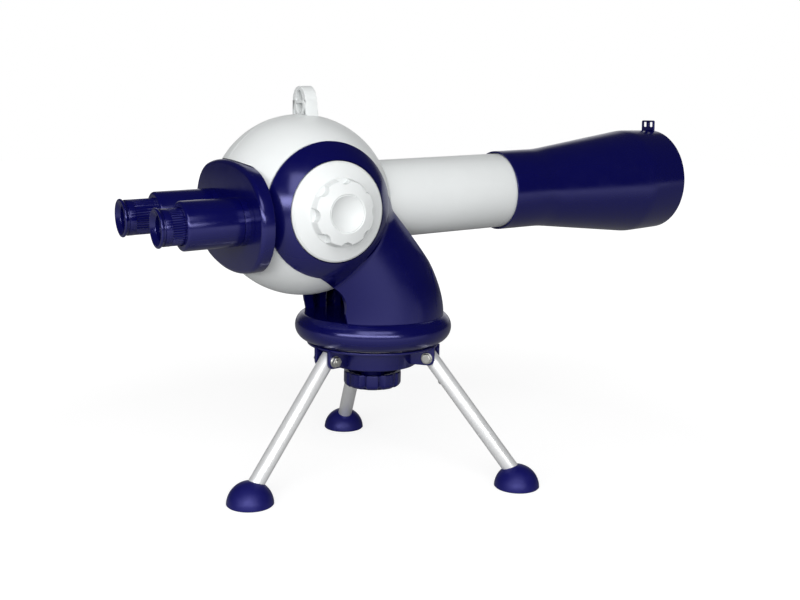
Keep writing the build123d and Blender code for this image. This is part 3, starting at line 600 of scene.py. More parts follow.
def linear(code):
    """sRGB hex colour as linear red, green, blue and full alpha."""
    part = np.array([int(code[n:n + 2], 16) for n in (1, 3, 5)]) / 255
    light = np.where(part <= 0.04045, part / 12.92, ((part + 0.055) / 1.055) ** 2.4)
    return (*light.tolist(), 1.0)


def add(tree, kind, settings, links=()):
    """Adds a node. Settings go to a socket of that name or number, or else to the node itself; each link is
    (socket here, other node, its output)."""
    node = tree.nodes.new("ShaderNode" + kind)
    for key, value in settings.items():
        if isinstance(key, int) or key in node.inputs:
            node.inputs[key].default_value = value
        else:
            setattr(node, key, value)
    for socket, other, output in links:
        tree.links.new(other.outputs[output], node.inputs[socket])
    return node


def per_metre(size_mm):
    """Texture scale for a pattern whose cells are this many millimetres wide."""
    return 1 / (size_mm * MM)


def new_material(name):
    """Empty node material with its texture coordinates."""
    material = bpy.data.materials.new(name)
    material.use_nodes = True
    tree = material.node_tree
    tree.nodes.clear()
    place = add(tree, "TexCoord", {})
    return material, tree, place


def close_material(tree, settings, links):
    """Shader and output, with the shader's plain values and links."""
    shader = add(tree, "BsdfPrincipled", settings, links)
    add(tree, "OutputMaterial", {}, [("Surface", shader, "BSDF")])


def moulded_plastic(name, light, dark, roughness, grain_mm, grain_height, specular, gleam="#ffffff"):
    """Injection-moulded plastic: pigment that clouds slightly over the flow, a tool-finish grain that breaks
    up the highlights, and gloss that handling has dulled in patches. Pigment tints the gleam."""
    material, tree, place = new_material(name)
    cloud = add(tree, "TexNoise", {"Scale": per_metre(38), "Detail": 3.0, "Roughness": 0.55},
                [("Vector", place, "Object")])
    colour = add(tree, "Mix", {"data_type": "RGBA", 6: linear(dark), 7: linear(light)},
                 [("Factor", cloud, "Fac")])
    handled = add(tree, "TexNoise", {"Scale": per_metre(14), "Detail": 4.0, "Roughness": 0.6},
                  [("Vector", place, "Object")])
    gloss = add(tree, "MapRange", {1: 0.3, 2: 0.7, 3: roughness * 0.8, 4: roughness * 1.25},
                [(0, handled, "Fac")])
    grain = add(tree, "TexNoise", {"Scale": per_metre(grain_mm), "Detail": 2.0},
                [("Vector", place, "Object")])
    bump = add(tree, "Bump", {"Strength": grain_height, "Distance": 0.1 * MM}, [("Height", grain, "Fac")])
    close_material(tree, {"IOR": 1.52, "Specular IOR Level": specular, "Specular Tint": linear(gleam)},
                   [("Base Color", colour, 2), ("Roughness", gloss, 0), ("Normal", bump, 0)])
    return material


def drawn_aluminium(name, leg):
    """Drawn tube, clear anodised: bright metal with fine draw lines along the tube."""
    material, tree, place = new_material(name)
    turned_place = add(tree, "Mapping",
                       {"vector_type": "TEXTURE", "Rotation": (0, radians(-leg.lean), radians(leg.turn))},
                       [("Vector", place, "Object")])
    stretch = add(tree, "Mapping", {"Scale": (1, 1, 0.012)}, [("Vector", turned_place, 0)])
    lines = add(tree, "TexNoise", {"Scale": per_metre(0.7), "Detail": 3.0}, [("Vector", stretch, 0)])
    patches = add(tree, "TexNoise", {"Scale": per_metre(9), "Detail": 3.0}, [("Vector", turned_place, 0)])
    tone = add(tree, "Mix", {"data_type": "RGBA", 6: linear("#eeeff0"), 7: linear("#f7f8f8")},
               [("Factor", lines, "Fac")])
    gloss = add(tree, "MapRange", {1: 0.3, 2: 0.7, 3: 0.3, 4: 0.38}, [(0, patches, "Fac")])
    bump = add(tree, "Bump", {"Strength": 0.03, "Distance": 0.05 * MM}, [("Height", lines, "Fac")])
    close_material(tree, {"Metallic": 0.45},
                   [("Base Color", tone, 2), ("Roughness", gloss, 0), ("Normal", bump, 0)])
    return material


def plated_metal(name, light, dark, roughness, spangle_mm):
    """Turned or pressed metal with a thin plating: cloudy tone and a slightly uneven shine."""
    material, tree, place = new_material(name)
    spangle = add(tree, "TexNoise", {"Scale": per_metre(spangle_mm), "Detail": 3.0},
                  [("Vector", place, "Object")])
    tone = add(tree, "Mix", {"data_type": "RGBA", 6: linear(dark), 7: linear(light)},
               [("Factor", spangle, "Fac")])
    gloss = add(tree, "MapRange", {1: 0.3, 2: 0.7, 3: roughness * 0.7, 4: roughness * 1.4},
                [(0, spangle, "Fac")])
    close_material(tree, {"Metallic": 1.0}, [("Base Color", tone, 2), ("Roughness", gloss, 0)])
    return material


def crown_glass(name, tint):
    """Polished lens glass with a coating: clear, with a faint colour and a trace of dust that dulls it."""
    material, tree, place = new_material(name)
    dust = add(tree, "TexNoise", {"Scale": per_metre(6), "Detail": 5.0}, [("Vector", place, "Object")])
    haze = add(tree, "MapRange", {1: 0.5, 2: 0.8, 3: 0.0, 4: 0.06}, [(0, dust, "Fac")])
    close_material(tree, {"Base Color": linear(tint), "IOR": 1.52, "Transmission Weight": 1.0},
                   [("Roughness", haze, 0)])
    return material


# Hood, fork and head are glossy ABS, the feet soft PVC, whose sheen is broad
indigo_abs = moulded_plastic("indigo_abs", "#050548", "#040443", 0.2, 1.6, 0.03, 0.9, "#b8b8ff")
indigo_pvc = moulded_plastic("indigo_pvc", "#09095a", "#070752", 0.48, 1.6, 0.05, 0.9, "#a8a8ff")
grey_abs = moulded_plastic("grey_abs", "#e0e3e3", "#d9dcdc", 0.36, 1.2, 0.06, 0.35)
black_abs = moulded_plastic("black_abs", "#1b1b1e", "#131316", 0.6, 0.9, 0.25, 0.35)
nylon = moulded_plastic("natural_nylon", "#dcd9cf", "#d2cfc4", 0.5, 1.0, 0.1, 0.4)
zinc_steel = plated_metal("zinc_plated_steel", "#c4c4c0", "#b2b2ae", 0.3, 6.0)
brass = plated_metal("turned_brass", "#d9bd72", "#c4a55c", 0.25, 2.5)
silvered = plated_metal("front_silvered_mirror", "#f0f0ef", "#e6e6e6", 0.03, 12)
coated_glass = crown_glass("coated_crown_glass", "#e9eef7")
prism_glass = crown_glass("prism_glass", "#f2f5f4")
finishes = {"blue_abs": indigo_abs, "grey_abs": grey_abs, "black_plastic": black_abs, "nylon": nylon,
            "zinc_steel": zinc_steel, "brass": brass, "lens_glass": prism_glass, "mirror": silvered}


# Tripod

def tripod_head():
    """Disc on a round skirt with a hub inside, turned about the upright axis, and a pair of cheeks for each
    leg."""
    disc_bottom = head_top - head_disc_thickness
    skirt_inner = skirt_radius - skirt_wall
    bore = azimuth_screw_radius + seat_gap
    spigot_bore = spigot_radius + seat_gap
    hub = rounded([(hub_bottom, bore), (hub_bottom, hub_radius), (disc_bottom, hub_radius),
                   (disc_bottom, skirt_inner), (hub_bottom, skirt_inner), (hub_bottom, skirt_radius),
                   (disc_bottom, skirt_radius), (disc_bottom, head_disc_radius), (head_top, head_disc_radius),
                   (head_top, spigot_bore), (spigot_floor, spigot_bore), (spigot_floor, bore)],
                  (0.4, 1, 1, 1, 0.6, 1, 1.5, 0.8, 0.8, 0.4, 0, 0))
    cheeks = []
    for number in leg_numbers:
        leg = Leg(number)
        outer = leg.pivot + cheek_reach
        bottom = leg.height - cheek_drop
        inner = skirt_radius - skirt_wall / 2
        top = disc_bottom + head_disc_thickness / 2
        outline = rounded([(inner, top), (inner, bottom), (outer, bottom), (outer, top)],
                          (0, 0, cheek_round, 0))
        rows = edge_rows(cheek_inner, cheek_outer, 0.5, 0.8)
        for side in sides.values():
            cheek = slab(outline, rows)[..., [0, 2, 1]] * (1, side, 1)
            cheeks.append(shell(leg.around(cheek), capped=True))
    make("tripod_head_moulding", [shell(upright(turned(hub, 128)), ring_rows=True)], "tripod", "blue_abs",
         "tripod_head", joined=cheeks)


def hexagon(flats, corner_round):
    """Six corners at half the width over the flats, divided by the cosine of 30 degrees."""
    turn = np.radians(np.arange(6) * 60)
    reach = flats / 2 / cos(radians(30))
    return rounded(np.stack([reach * np.cos(turn), reach * np.sin(turn)], -1), corner_round, 4)


def clevis_fasteners():
    """Bolts with a hexagon head and nuts, each on a turned washer face, one of each at every leg."""
    shank_start = -cheek_outer - bolt_head_height / 2
    shank_end = cheek_outer + nut_height + bolt_past_nut
    shank = rounded(section(shank_start, shank_end, 0, bolt_radius), (0, 0, 0.5, 0))
    washer_top = cheek_outer + bolt_flange_thickness
    washer = rounded(section(cheek_outer, washer_top, 0, bolt_flange_radius), (0, 0.1, 0.6, 0), 5)
    shanks, heads, nuts, washers = [], [], [], []
    ends = ((-1, bolt_head_height, 0.7, heads, heads), (1, nut_height, 0.6, nuts, washers))
    for number in leg_numbers:
        leg = Leg(number)
        pivot = (leg.pivot, 0, leg.height)
        shanks.append(shell(leg.around(crosswise(turned(shank, 32), 1) + pivot)))
        for side, height, edge_round, blocks, rings in ends:
            block = slab(hexagon(bolt_head_flats, 0.4), edge_rows(bolt_lap, height, 0.1, edge_round))
            block = (block[..., [0, 2, 1]] + (0, cheek_outer, 0)) * (1, side, 1)
            blocks.append(shell(leg.around(block + pivot), capped=True))
            rings.append(shell(leg.around(crosswise(turned(washer, 48), side) + pivot)))
    make("clevis_bolt_set", shanks, "tripod", "zinc_steel", "clevis_bolts", joined=heads)
    make("clevis_nut_set", nuts, "tripod", "zinc_steel", "clevis_nuts", joined=washers)


def legs():
    """Drawn tubes with open ends and domed feet."""
    for number in leg_numbers:
        leg = Leg(number)
        tube = rounded(section(leg_top, -leg.length, leg_radius - leg_wall, leg_radius), 0.25, 4)
        make(f"leg_{number}_drawn_tube", [shell(leg.along(upright(turned(tube, 64))), ring_rows=True)],
             f"leg_{number}", "leg_aluminium", f"leg_tube_{number}",
             material=drawn_aluminium(f"drawn_aluminium_{number}", leg))
        sole = foot_radius - foot_chamfer
        dome_start = degrees(np.arcsin(foot_chamfer / foot_radius))
        dome = np.concatenate([[(0, 0), (0, sole)], arc((0, 0), foot_radius, 90 - dome_start, 0, 32)])
        foot = upright(turned(dome)) + (leg.foot, 0, 0)
        make(f"leg_{number}_foot_dome", [shell(leg.around(foot))], f"leg_{number}", "blue_abs",
             f"leg_foot_{number}", material=indigo_pvc)


def azimuth_knob():
    """Cup with a rounded lower edge and a neck, turned about the upright axis; notches in its wall, deeper
    towards the lower edge, leave ten petals, and a hexagon pocket below takes the screw's head."""
    top = azimuth_knob_bottom + azimuth_knob_height
    wall = azimuth_knob_radius
    cup = wall - azimuth_cup_rim
    floor_height = top - azimuth_cup_depth
    bore = azimuth_screw_radius + seat_gap
    neck_end = hub_bottom - clamp_gap
    profile = rounded([(azimuth_knob_bottom, bore), (azimuth_knob_bottom, wall), (top, wall), (top, cup),
                       (floor_height, cup - azimuth_cup_slope), (floor_height, azimuth_neck_radius),
                       (neck_end, azimuth_neck_radius), (neck_end, bore)],
                      (0, azimuth_knob_round, 0.7, 0.6, 0.6, 1.0, 0.3, 0), 10)
    count = 384
    turn = np.linspace(0, 2 * pi, count, endpoint=False) - radians(azimuth_knob_turn)
    ring = lobe_line(turn, wall, azimuth_notch_radius, azimuth_notch_depth, azimuth_knob_lobes,
                     azimuth_notch_softness) - wall
    height = (profile[:, 0] - azimuth_knob_bottom) / azimuth_knob_height
    weight = np.interp(height, azimuth_notch_heights, azimuth_notch_shares) * (profile[:, 1] > cup)
    grid = upright(turned(profile, count, ring, weight))
    pocket = slab(hexagon(azimuth_screw_pocket_flats, 0.3),
                  [(0, azimuth_knob_bottom - 1), (0, azimuth_knob_bottom + azimuth_screw_pocket_depth)])
    make("azimuth_knob_grip", [shell(grid, ring_rows=True)], "azimuth_clamp", "blue_abs", "azimuth_knob",
         cutters=[shell(pocket, capped=True)])


# Fork

def base_collar():
    """Thick collar turned about the upright axis: a half-round bulge with a hollow and a spigot below."""
    middle = (collar_radius - collar_bulge, collar_bottom + collar_bulge)
    rise = degrees(np.arcsin((collar_top - middle[1]) / collar_bulge))
    bulge = arc(middle, collar_bulge, -90, rise, 40)[:, ::-1]
    plate_under = collar_top - collar_plate
    inside = [(spigot_end, 0), (spigot_end, spigot_radius), (plate_under, spigot_radius),
              (plate_under, collar_cavity_radius), (collar_bottom, collar_cavity_radius)]
    profile = np.concatenate([inside, bulge, [(collar_top, 0)]])
    make("base_collar_moulding", [shell(upright(turned(profile, 128)))], "fork", "blue_abs", "base_collar",
         bevel=0.5)


def drum_side(x, z, inset=0.0):
    """Half width of the leaning drum at a side-view point: level ellipses whose middle leans back towards the
    cross axis with a power of the height, and whose length swells and width narrows on the way."""
    share = np.clip((z - collar_top) / (axis_z - collar_top), 0, 1)
    middle = arm_lean * axis_x * share**arm_lean_power
    half_length = drum_radius + arm_swell * (1 - (1 - share) ** 2) - inset
    half_width = drum_radius - arm_taper * share - inset
    return half_width * np.sqrt(np.clip(1 - ((x - middle) / half_length) ** 2, 0, None))


def sphere_side(x, z, radius):
    """Half width of a sphere about the cross axis at a side-view point, nothing outside of it."""
    return np.sqrt(np.clip(radius**2 - (x - axis_x) ** 2 - (z - axis_z) ** 2, 0, None))


def arm_outer_side(x, z):
    """Outer face of an arm: the drum or the skin over the ball's room, whichever is further out, joined by a
    soft maximum that adds a quarter of the blend's width where the two are level."""
    drum = drum_side(x, z)
    skin = sphere_side(x, z, ball_radius + passing_gap + arm_lip)
    share = np.clip(0.5 + (drum - skin) / (2 * arm_blend), 0, 1)
    return share * drum + (1 - share) * skin + arm_blend * share * (1 - share)


def arm_inner_side(x, z):
    """Inner face of an arm: the upright slot wall, or the room for the ball where that is further out."""
    return np.maximum(slot_half_width, sphere_side(x, z, ball_radius + passing_gap))


def evenly(points, count):
    """Points at even distances along a line of points."""
    way = np.concatenate([[0], np.cumsum(np.linalg.norm(np.diff(points, axis=0), axis=1))])
    stops = np.linspace(0, way[-1], count)
    return np.stack([np.interp(stops, way, points[:, 0]), np.interp(stops, way, points[:, 1])], -1)


def arm_edges():
    """Front and rear edges of an arm in side view, from the collar to where they pass under the ear, each
    moved in to where the arm is thick enough."""
    base = sqrt(drum_radius**2 - slot_half_width**2)
    lines = []
    for side, angle, offset, round_off in ((1, arm_front_angle, arm_front_offset, arm_front_round),
                                           (-1, arm_rear_angle, arm_rear_offset, arm_rear_round)):
        turn = radians(angle)
        foot = np.array([axis_x, axis_z]) + side * offset * np.array([sin(turn), cos(turn)])
        reach = sqrt(max(arm_top_radius**2 - offset**2, arm_tip_reach**2))
        tip = foot + reach * np.array([cos(turn), -sin(turn)])
        corner = foot[1] - (side * base - foot[0]) * sin(turn) / cos(turn)
        room = min(round_off, arm_round_share * (corner - collar_top) / np.tan((pi / 2 - turn) / 2))
        start = (side * base, collar_top)
        bend = rounded([start, (side * base, corner), tip, (0, axis_z)], (0, room, 0, 0), 24)
        keep = bend[np.argmin(np.linalg.norm(bend - start, axis=1)):]
        lines.append(thick_part(evenly(keep[:len(keep) - 1], 400), -side))
    return lines


def thick_part(edge, inwards):
    """Moves each point of an edge inwards until the arm there has its least thickness, and drops the rest."""
    shift = np.linspace(0, arm_edge_shift, 301)
    x = edge[:, :1] + inwards * shift[None, :]
    z = np.broadcast_to(edge[:, 1:], x.shape)
    least = np.interp(z, (collar_top, axis_z - ear_radius), (arm_edge, arm_tip_edge))
    thick = arm_outer_side(x, z) - arm_inner_side(x, z) >= least
    first = np.argmax(thick, axis=1)
    moved = np.stack([x[np.arange(len(edge)), first], edge[:, 1]], -1)
    return moved[thick.any(axis=1)]


def arm_top(rear_end, front_end, count):
    """Upper end of an arm, hidden under the ear: round the cross axis, from the rear edge to the front."""
    turn = [atan2(end[1] - axis_z, end[0] - axis_x) for end in (rear_end, front_end)]
    off = [hypot(end[1] - axis_z, end[0] - axis_x) for end in (rear_end, front_end)]
    turn = np.linspace(*turn, count)
    off = np.linspace(*off, count)
    return np.stack([axis_x + off * np.cos(turn), axis_z + off * np.sin(turn)], -1)


def arm_side_view(across, upwards):
    """Side-view grid of an arm: a patch blended between its foot on the collar, its top under the ear and its
    rear and front edges, less the corner terms that the blend counts twice."""
    front, rear = arm_edges()
    front = evenly(front, upwards)
    rear = evenly(rear, upwards)
    foot = np.linspace(rear[0], front[0], across)
    top = arm_top(rear[-1], front[-1], across)
    u = np.linspace(0, 1, across)[None, :, None]
    v = np.linspace(0, 1, upwards)[:, None, None]
    patch = (1 - v) * foot[None] + v * top[None] + (1 - u) * rear[:, None] + u * front[:, None]
    corners = ((1 - u) * (1 - v) * rear[0] + u * (1 - v) * front[0]
               + (1 - u) * v * rear[-1] + u * v * front[-1])
    return patch - corners


def fork_arm():
    """Hollow arm: at each step from the collar to the ear a closed line runs over the outer side, round the
    front edge, along the lip, over the floor of the hollow and back by the rear lip."""
    view = arm_side_view(61, 73)
    x, z = view[..., 0], view[..., 1]
    outer = arm_outer_side(x, z)
    inner = arm_inner_side(x, z)
    floor = np.maximum(inner, np.minimum(outer - arm_wall / 2, drum_side(x, z, arm_wall)))
    lip = 5
    last = x.shape[1] - 1
    run = np.concatenate([np.arange(lip + 1), np.arange(lip, last - lip + 1),
                          np.arange(last - lip, last + 1)])
    inside = np.concatenate([inner[:, :lip + 1], floor[:, lip:last - lip + 1], inner[:, last - lip:]], 1)
    columns = np.concatenate([run, run[::-1]])
    depth = np.concatenate([outer[:, run], inside[:, ::-1]], 1)
    return np.stack([x[:, columns], depth, z[:, columns]], -1)


def fork_rib(x):
    """Upright rib in the hollow of an arm, a thin plate from the slot to the outer wall."""
    heights = np.linspace(collar_top, axis_z - ear_radius, 60)
    outer = drum_side(x, heights) - arm_wall / 2
    inner = arm_inner_side(np.full_like(heights, x), heights) + arm_rib_least
    kept = outer - inner > arm_rib_least
    outer, inner, heights = outer[kept], inner[kept], heights[kept]
    half = arm_rib / 2
    ring = [(x - half, inner), (x + half, inner), (x + half, outer), (x - half, outer)]
    return np.stack([np.stack([np.full_like(y, place), y, heights], -1) for place, y in ring], 1)


def fork_ear():
    """Domed ring about the cross axis with the knob's seat."""
    bore = journal_radius + clamp_gap
    rim_inner = sqrt(ear_inner_radius**2 - ear_rim_bottom**2)
    return np.concatenate([
        cap_line(ear_inner_radius, rim_inner, bore),
        cap_line(ear_seat_radius, bore, knob_recess_radius),
        cap_line(ear_dome_radius, knob_recess_radius, ear_radius, ear_dome_centre),
        [(ear_rim_bottom, ear_radius)],
    ])


def fork():
    """Arms with their ribs joined to the ears."""
    centre = (axis_x, 0, axis_z)
    first_rib = -arm_rib_pitch * (arm_rib_count - 1) / 2
    for name, side in sides.items():
        flip = (1, side, 1)
        ribs = [shell(fork_rib(first_rib + n * arm_rib_pitch) * flip, capped=True)
                for n in range(arm_rib_count)]
        ear = shell(crosswise(turned(fork_ear(), 160), side) + centre, ring_rows=True)
        make(f"fork_{name}_moulding", [shell(fork_arm() * flip, paired=True)], "fork", "blue_abs",
             f"fork_{name}", joined=[ear] + ribs)


# Ball, tube and hood

def ball():
    """Half shells turned about the cross axis, with the tube's hole and the plate's seat cut out."""
    seam = ball_seam / 2
    inner = ball_radius - ball_wall
    start = degrees(np.arcsin((seam + seam_round) / ball_radius))
    ledge = degrees(np.arcsin(ledge_offset / ball_radius))
    sphere = arc((0, 0), ball_radius, 90 - start, 90 - ledge, 56)
    lining = arc((0, 0), inner, ball_lining_start, 90 - degrees(np.arcsin(seam / inner)), 40)
    cheek = cap_line(cheek_radius, sqrt(cheek_radius**2 - ledge_offset**2), journal_radius, 0, 32)
    edge = arc((seam + seam_round, sqrt(ball_radius**2 - seam**2) - seam_round), seam_round, 180, 90, 6)
    profile = np.concatenate([
        [(journal_root, 0), (journal_root, inner * sin(radians(ball_lining_start)))], lining, edge,
        sphere[1:], cheek, [(journal_end, journal_radius), (journal_end, 0)]])
    hole = tube_radius + tube_hole_gap
    bore = turned(section(0, 2 * ball_radius, 0, hole), 160)
    outline = oval(plate_half_width + plate_recess_gap, plate_half_height + plate_recess_gap,
                   plate_end_round + plate_recess_gap)
    seat = slab(outline, [(0, plate_front - 2 * ball_radius), (0, plate_front)])[..., [2, 0, 1]]
    cutters = [shell(on_telescope(bore)), shell(at_plate(seat), capped=True)]
    bulkhead_back = plate_front - bulkhead_lap
    bulkhead_radius = sqrt(ball_radius**2 - bulkhead_back**2) - bulkhead_edge_gap
    half_disc = arc((seam + seam_round, 0), bulkhead_radius, -90, 90, 48)
    for name, side in sides.items():
        half = on_telescope(crosswise(turned(profile, 192), side))
        disc = slab(half_disc, [(0, bulkhead_back), (0, bulkhead_back + bulkhead_thickness)])[..., [2, 0, 1]]
        disc = disc * (1, side, 1)
        make(f"ball_{name}_shell", [shell(half)], "telescope", "grey_abs", f"ball_{name}",
             joined=[shell(on_telescope(disc), capped=True)], cutters=cutters)


def tube_and_hood():
    """Tube and flared hood, turned about the optical axis."""
    tube = rounded(section(tube_start, tube_front, tube_radius - tube_wall, tube_radius), 0.3, 3)
    turned_part("main_tube_barrel", tube, 128, "grey_abs", "main_tube")
    sleeve = tube_radius + seat_gap
    bore = hood_cone_end_radius - hood_wall
    hood = rounded([(hood_rear, hood_rear_radius), (hood_cone_start, hood_cone_start_radius),
                    (hood_cone_end, hood_cone_end_radius), (hood_front, hood_front_radius),
                    (hood_front, hood_front_radius - hood_wall), (hood_cone_end, bore),
                    (hood_cone_start, sleeve), (hood_rear + hood_relief_depth, sleeve),
                    (hood_rear, sleeve + hood_relief)],
                   (0.3, hood_start_round, hood_end_round, hood_edge_round / 2, 0.4, hood_end_round,
                    hood_start_round, 0.5, 0.2), 16)
    turned_part("hood_moulding", hood, 160, "blue_abs", "hood")


def lens_line(edge_start, radius, edge, front_sag, rear_sag):
    """Section of a lens: two crowned faces and its ground edge; a crown is an arc whose radius is
    (sag squared + radius squared) / (2 x sag)."""
    off = np.linspace(0, radius, 24)
    front_curve = (front_sag**2 + radius**2) / (2 * front_sag)
    rear_curve = (rear_sag**2 + radius**2) / (2 * rear_sag)
    front = edge_start + edge + front_sag - front_curve + np.sqrt(front_curve**2 - off**2)
    rear = edge_start - rear_sag + rear_curve - np.sqrt(rear_curve**2 - off**2)
    return np.concatenate([np.stack([rear, off], -1), np.stack([front, off], -1)[::-1]])


def objective():
    """Lens in its cell with the thin ring that holds it."""
    end = cell_place + cell_length
    wall = hood_cone_end_radius - hood_wall - cell_gap
    slope = (wall - tube_radius) / (hood_cone_end - hood_cone_start)
    outside = [tube_radius + slope * (x - hood_cone_start) for x in (cell_place, end)]
    step = cell_place + cell_step
    seat = lens_radius + seat_gap
    cell = rounded([(cell_place, cell_bore), (cell_place, outside[0]), (end, outside[1]), (end, seat),
                    (step, seat), (step, cell_bore)], 0.3, 4)
    turned_part("lens_cell_ring", cell, 128, "black_plastic", "lens_cell")
    glass = lens_line(lens_edge_start, lens_radius, lens_edge, lens_front_sag, lens_rear_sag)
    turned_part("objective_glass", glass, 128, "lens_glass", "objective_lens", hollow=False,
                material=coated_glass)
    start = lens_edge_start + lens_edge
    ring_end = start + ring_length
    ring_bore = lens_radius - ring_width
    ring = rounded([(start + ring_dish, ring_bore), (start, lens_radius), (ring_end, lens_radius),
                    (ring_end, ring_bore)], 0.3, 4)
    turned_part("lens_retaining_ring", ring, 128, "black_plastic", "lens_ring")


# Altitude knobs

def altitude_knobs():
    """Flange with a grip whose front rises to the rim of a dish, turned about the cross axis; the dish is an
    arc whose radius is (half its width squared + its depth squared) / (2 x its depth), and round cutters
    leave the lobes."""
    rim = sqrt(knob_under_radius**2 - knob_flange_radius**2)
    rim_top = rim + knob_rim_height
    under = cap_line(knob_under_radius, knob_bore, knob_flange_radius, 0, 16)
    bend = (knob_dish_radius**2 + knob_dish_depth**2) / (2 * knob_dish_depth)
    dish_off = np.linspace(knob_dish_radius - knob_dish_lip, 0, 16)
    dish_along = knob_front - knob_dish_depth + bend - np.sqrt(bend**2 - dish_off**2)
    upper = rounded([(rim, knob_flange_radius), (rim_top, knob_flange_radius),
                     (rim_top + knob_bevel, knob_flange_radius - knob_bevel),
                     (knob_grip_base, knob_grip_radius), (knob_shoulder, knob_front_radius),
                     (knob_front, knob_dish_radius),
                     (knob_front - knob_dish_depth, knob_dish_radius - knob_dish_slope)],
                    (0, 1.2, 1.2, knob_foot_round, knob_edge_round, 1.0, 0), 10)[:-1]
    front = np.concatenate([upper, np.stack([dish_along, dish_off], -1)])
    profile = np.concatenate([[(under[0, 0], 0)], under, front])
    bottom = knob_grip_base + knob_notch_lift
    above = knob_front + 1
    notch = turned(section(bottom, above, 0, knob_notch_radius), 48)
    off = knob_front_radius + knob_notch_radius - knob_notch_depth
    turns = np.radians(knob_turn + np.arange(knob_lobes) * 360 / knob_lobes)
    for name, side in sides.items():
        grid = on_telescope(crosswise(turned(profile, 160), side))
        places = [(0, off * cos(turn), off * sin(turn)) for turn in turns]
        notches = [shell(on_telescope(crosswise(notch + place, side))) for place in places]
        make(f"altitude_knob_{name}_grip", [shell(grid)], f"altitude_clamp_{name}", "grey_abs",
             f"altitude_knob_{name}", cutters=notches)


# Eyepiece plate, holders and eyepieces

def eyepiece_plate():
    """Oval plate of four arcs with a rounded rear edge."""
    outline = oval(plate_half_width, plate_half_height, plate_end_round)
    rows = edge_rows(plate_back, plate_front, plate_edge_round, 0.4)
    plate = slab(outline, rows)[..., [2, 0, 1]]
    make("eyepiece_plate_moulding", [shell(at_plate(plate), capped=True)], "telescope", "blue_abs",
         "eyepiece_plate")


def holders():
    """Round holders with a joint line near the plate and a rounded outer end."""
    start = plate_back + holder_seat
    groove = plate_back - holder_groove_place
    deep = holder_radius - holder_groove_depth
    bore = eyepiece_radius + seat_gap
    profile = rounded([(start, bore), (start, holder_radius), (groove + holder_groove, holder_radius),
                       (groove, deep), (groove - holder_groove, holder_radius), (-holder_end, holder_radius),
                       (-holder_end, bore)], (0, 0, 0.1, 0.05, 0.1, holder_edge_round, 0.5), 6)
    for name, side in sides.items():
        grid = turned(profile, 96) + (0, side * eye_offset, 0)
        make(f"holder_{name}_sleeve", [shell(at_plate(grid), ring_rows=True)], "telescope", "blue_abs",
             f"holder_{name}")


def eyepieces():
    """Turned barrels with a dished eye end, a neck and a ribbed grip, and the eye lenses in them."""
    count = grip_ribs * 6
    turn = np.linspace(0, 2 * pi, count, endpoint=False)
    ring = -grip_depth * (0.5 - 0.5 * np.cos(grip_ribs * turn)) ** 2
    bore = eyepiece_radius - eyepiece_wall
    neck = eyepiece_radius - eyepiece_neck
    flange_end = eyepiece_flange_length
    neck_end = flange_end + eyepiece_neck_length
    grip_end = grip_start + grip_length
    grip_radius = eyepiece_radius - grip_drop
    profile = rounded([(eye_lens_depth, eyepiece_opening), (eyepiece_dish, eyepiece_opening),
                       (0, eyepiece_flange_radius - eyepiece_wall), (0, eyepiece_flange_radius),
                       (flange_end, eyepiece_flange_radius), (flange_end, neck), (neck_end, neck),
                       (neck_end, eyepiece_radius), (grip_start - grip_lead, eyepiece_radius),
                       (grip_start, grip_radius), (grip_end, grip_radius),
                       (grip_end + grip_lead, eyepiece_radius), (eyepiece_length, eyepiece_radius),
                       (eyepiece_length, bore), (eye_lens_depth, bore)],
                      (0, 0.8, 0.6, 0.9, 0.7, 0.3, 0.3, 0.4, 0, 0, 0, 0, 0.3, 0.3, 0), 5)
    along, off = profile.T
    weight = ((along >= grip_start) & (along <= grip_end) & (off > neck)).astype(float)
    grid = turned(profile, count, ring, weight)
    glass = turned(lens_line(eye_lens_depth + eye_lens_seat, bore - seat_gap, eye_lens_edge, eye_lens_sag,
                             eye_lens_sag), 64)
    for name, side in sides.items():
        place = (-eyepiece_ends[name], side * eye_offset, 0)
        make(f"eyepiece_{name}_barrel", [shell(at_plate(grid + place), ring_rows=True)],
             f"eyepiece_{name}", "blue_abs", f"eyepiece_{name}")
        make(f"eyepiece_{name}_glass", [shell(at_plate(glass + place))], f"eyepiece_{name}", "lens_glass",
             f"eye_lens_{name}", material=coated_glass)


# Nodes of the frame that keep their shape

def dress_nodes():
    """Each node in its slot's finish."""
    for row in frame["record"]["subparts"]:
        node = frame["nodes"].get(row["node"])
        if node and row["material_slot"] in finishes:
            node.data.materials.clear()
            node.data.materials.append(finishes[row["material_slot"]])


# Studio

def looking(place, aim, roll=0.0):
    """Matrix of a lamp or camera that looks from a place at an aim, level and then rolled by an angle: back
    is the way from the aim, right is at right angles to back and to the upright, and up to both."""
    back = np.array(place, float) - np.array(aim, float)
    back /= np.linalg.norm(back)
    right = np.cross((0, 0, 1), back)
    right /= np.linalg.norm(right)
    up = np.cross(back, right)
    c, s = cos(radians(roll)), sin(radians(roll))
    turn = Matrix(np.stack([c * right + s * up, c * up - s * right, back], 1).tolist()).to_4x4()
    return Matrix.Translation((np.array(place) * MM).tolist()) @ turn


def camera():
    """Camera at the photo's place, with its lens."""
    data = bpy.data.cameras.new("photo_camera")
    data.lens = camera_lens
    data.sensor_width = camera_film
    data.clip_end = 100
    eye = placed("photo_camera", data)
    eye.matrix_world = looking(camera_place, camera_aim, camera_roll)
    bpy.context.scene.camera = eye


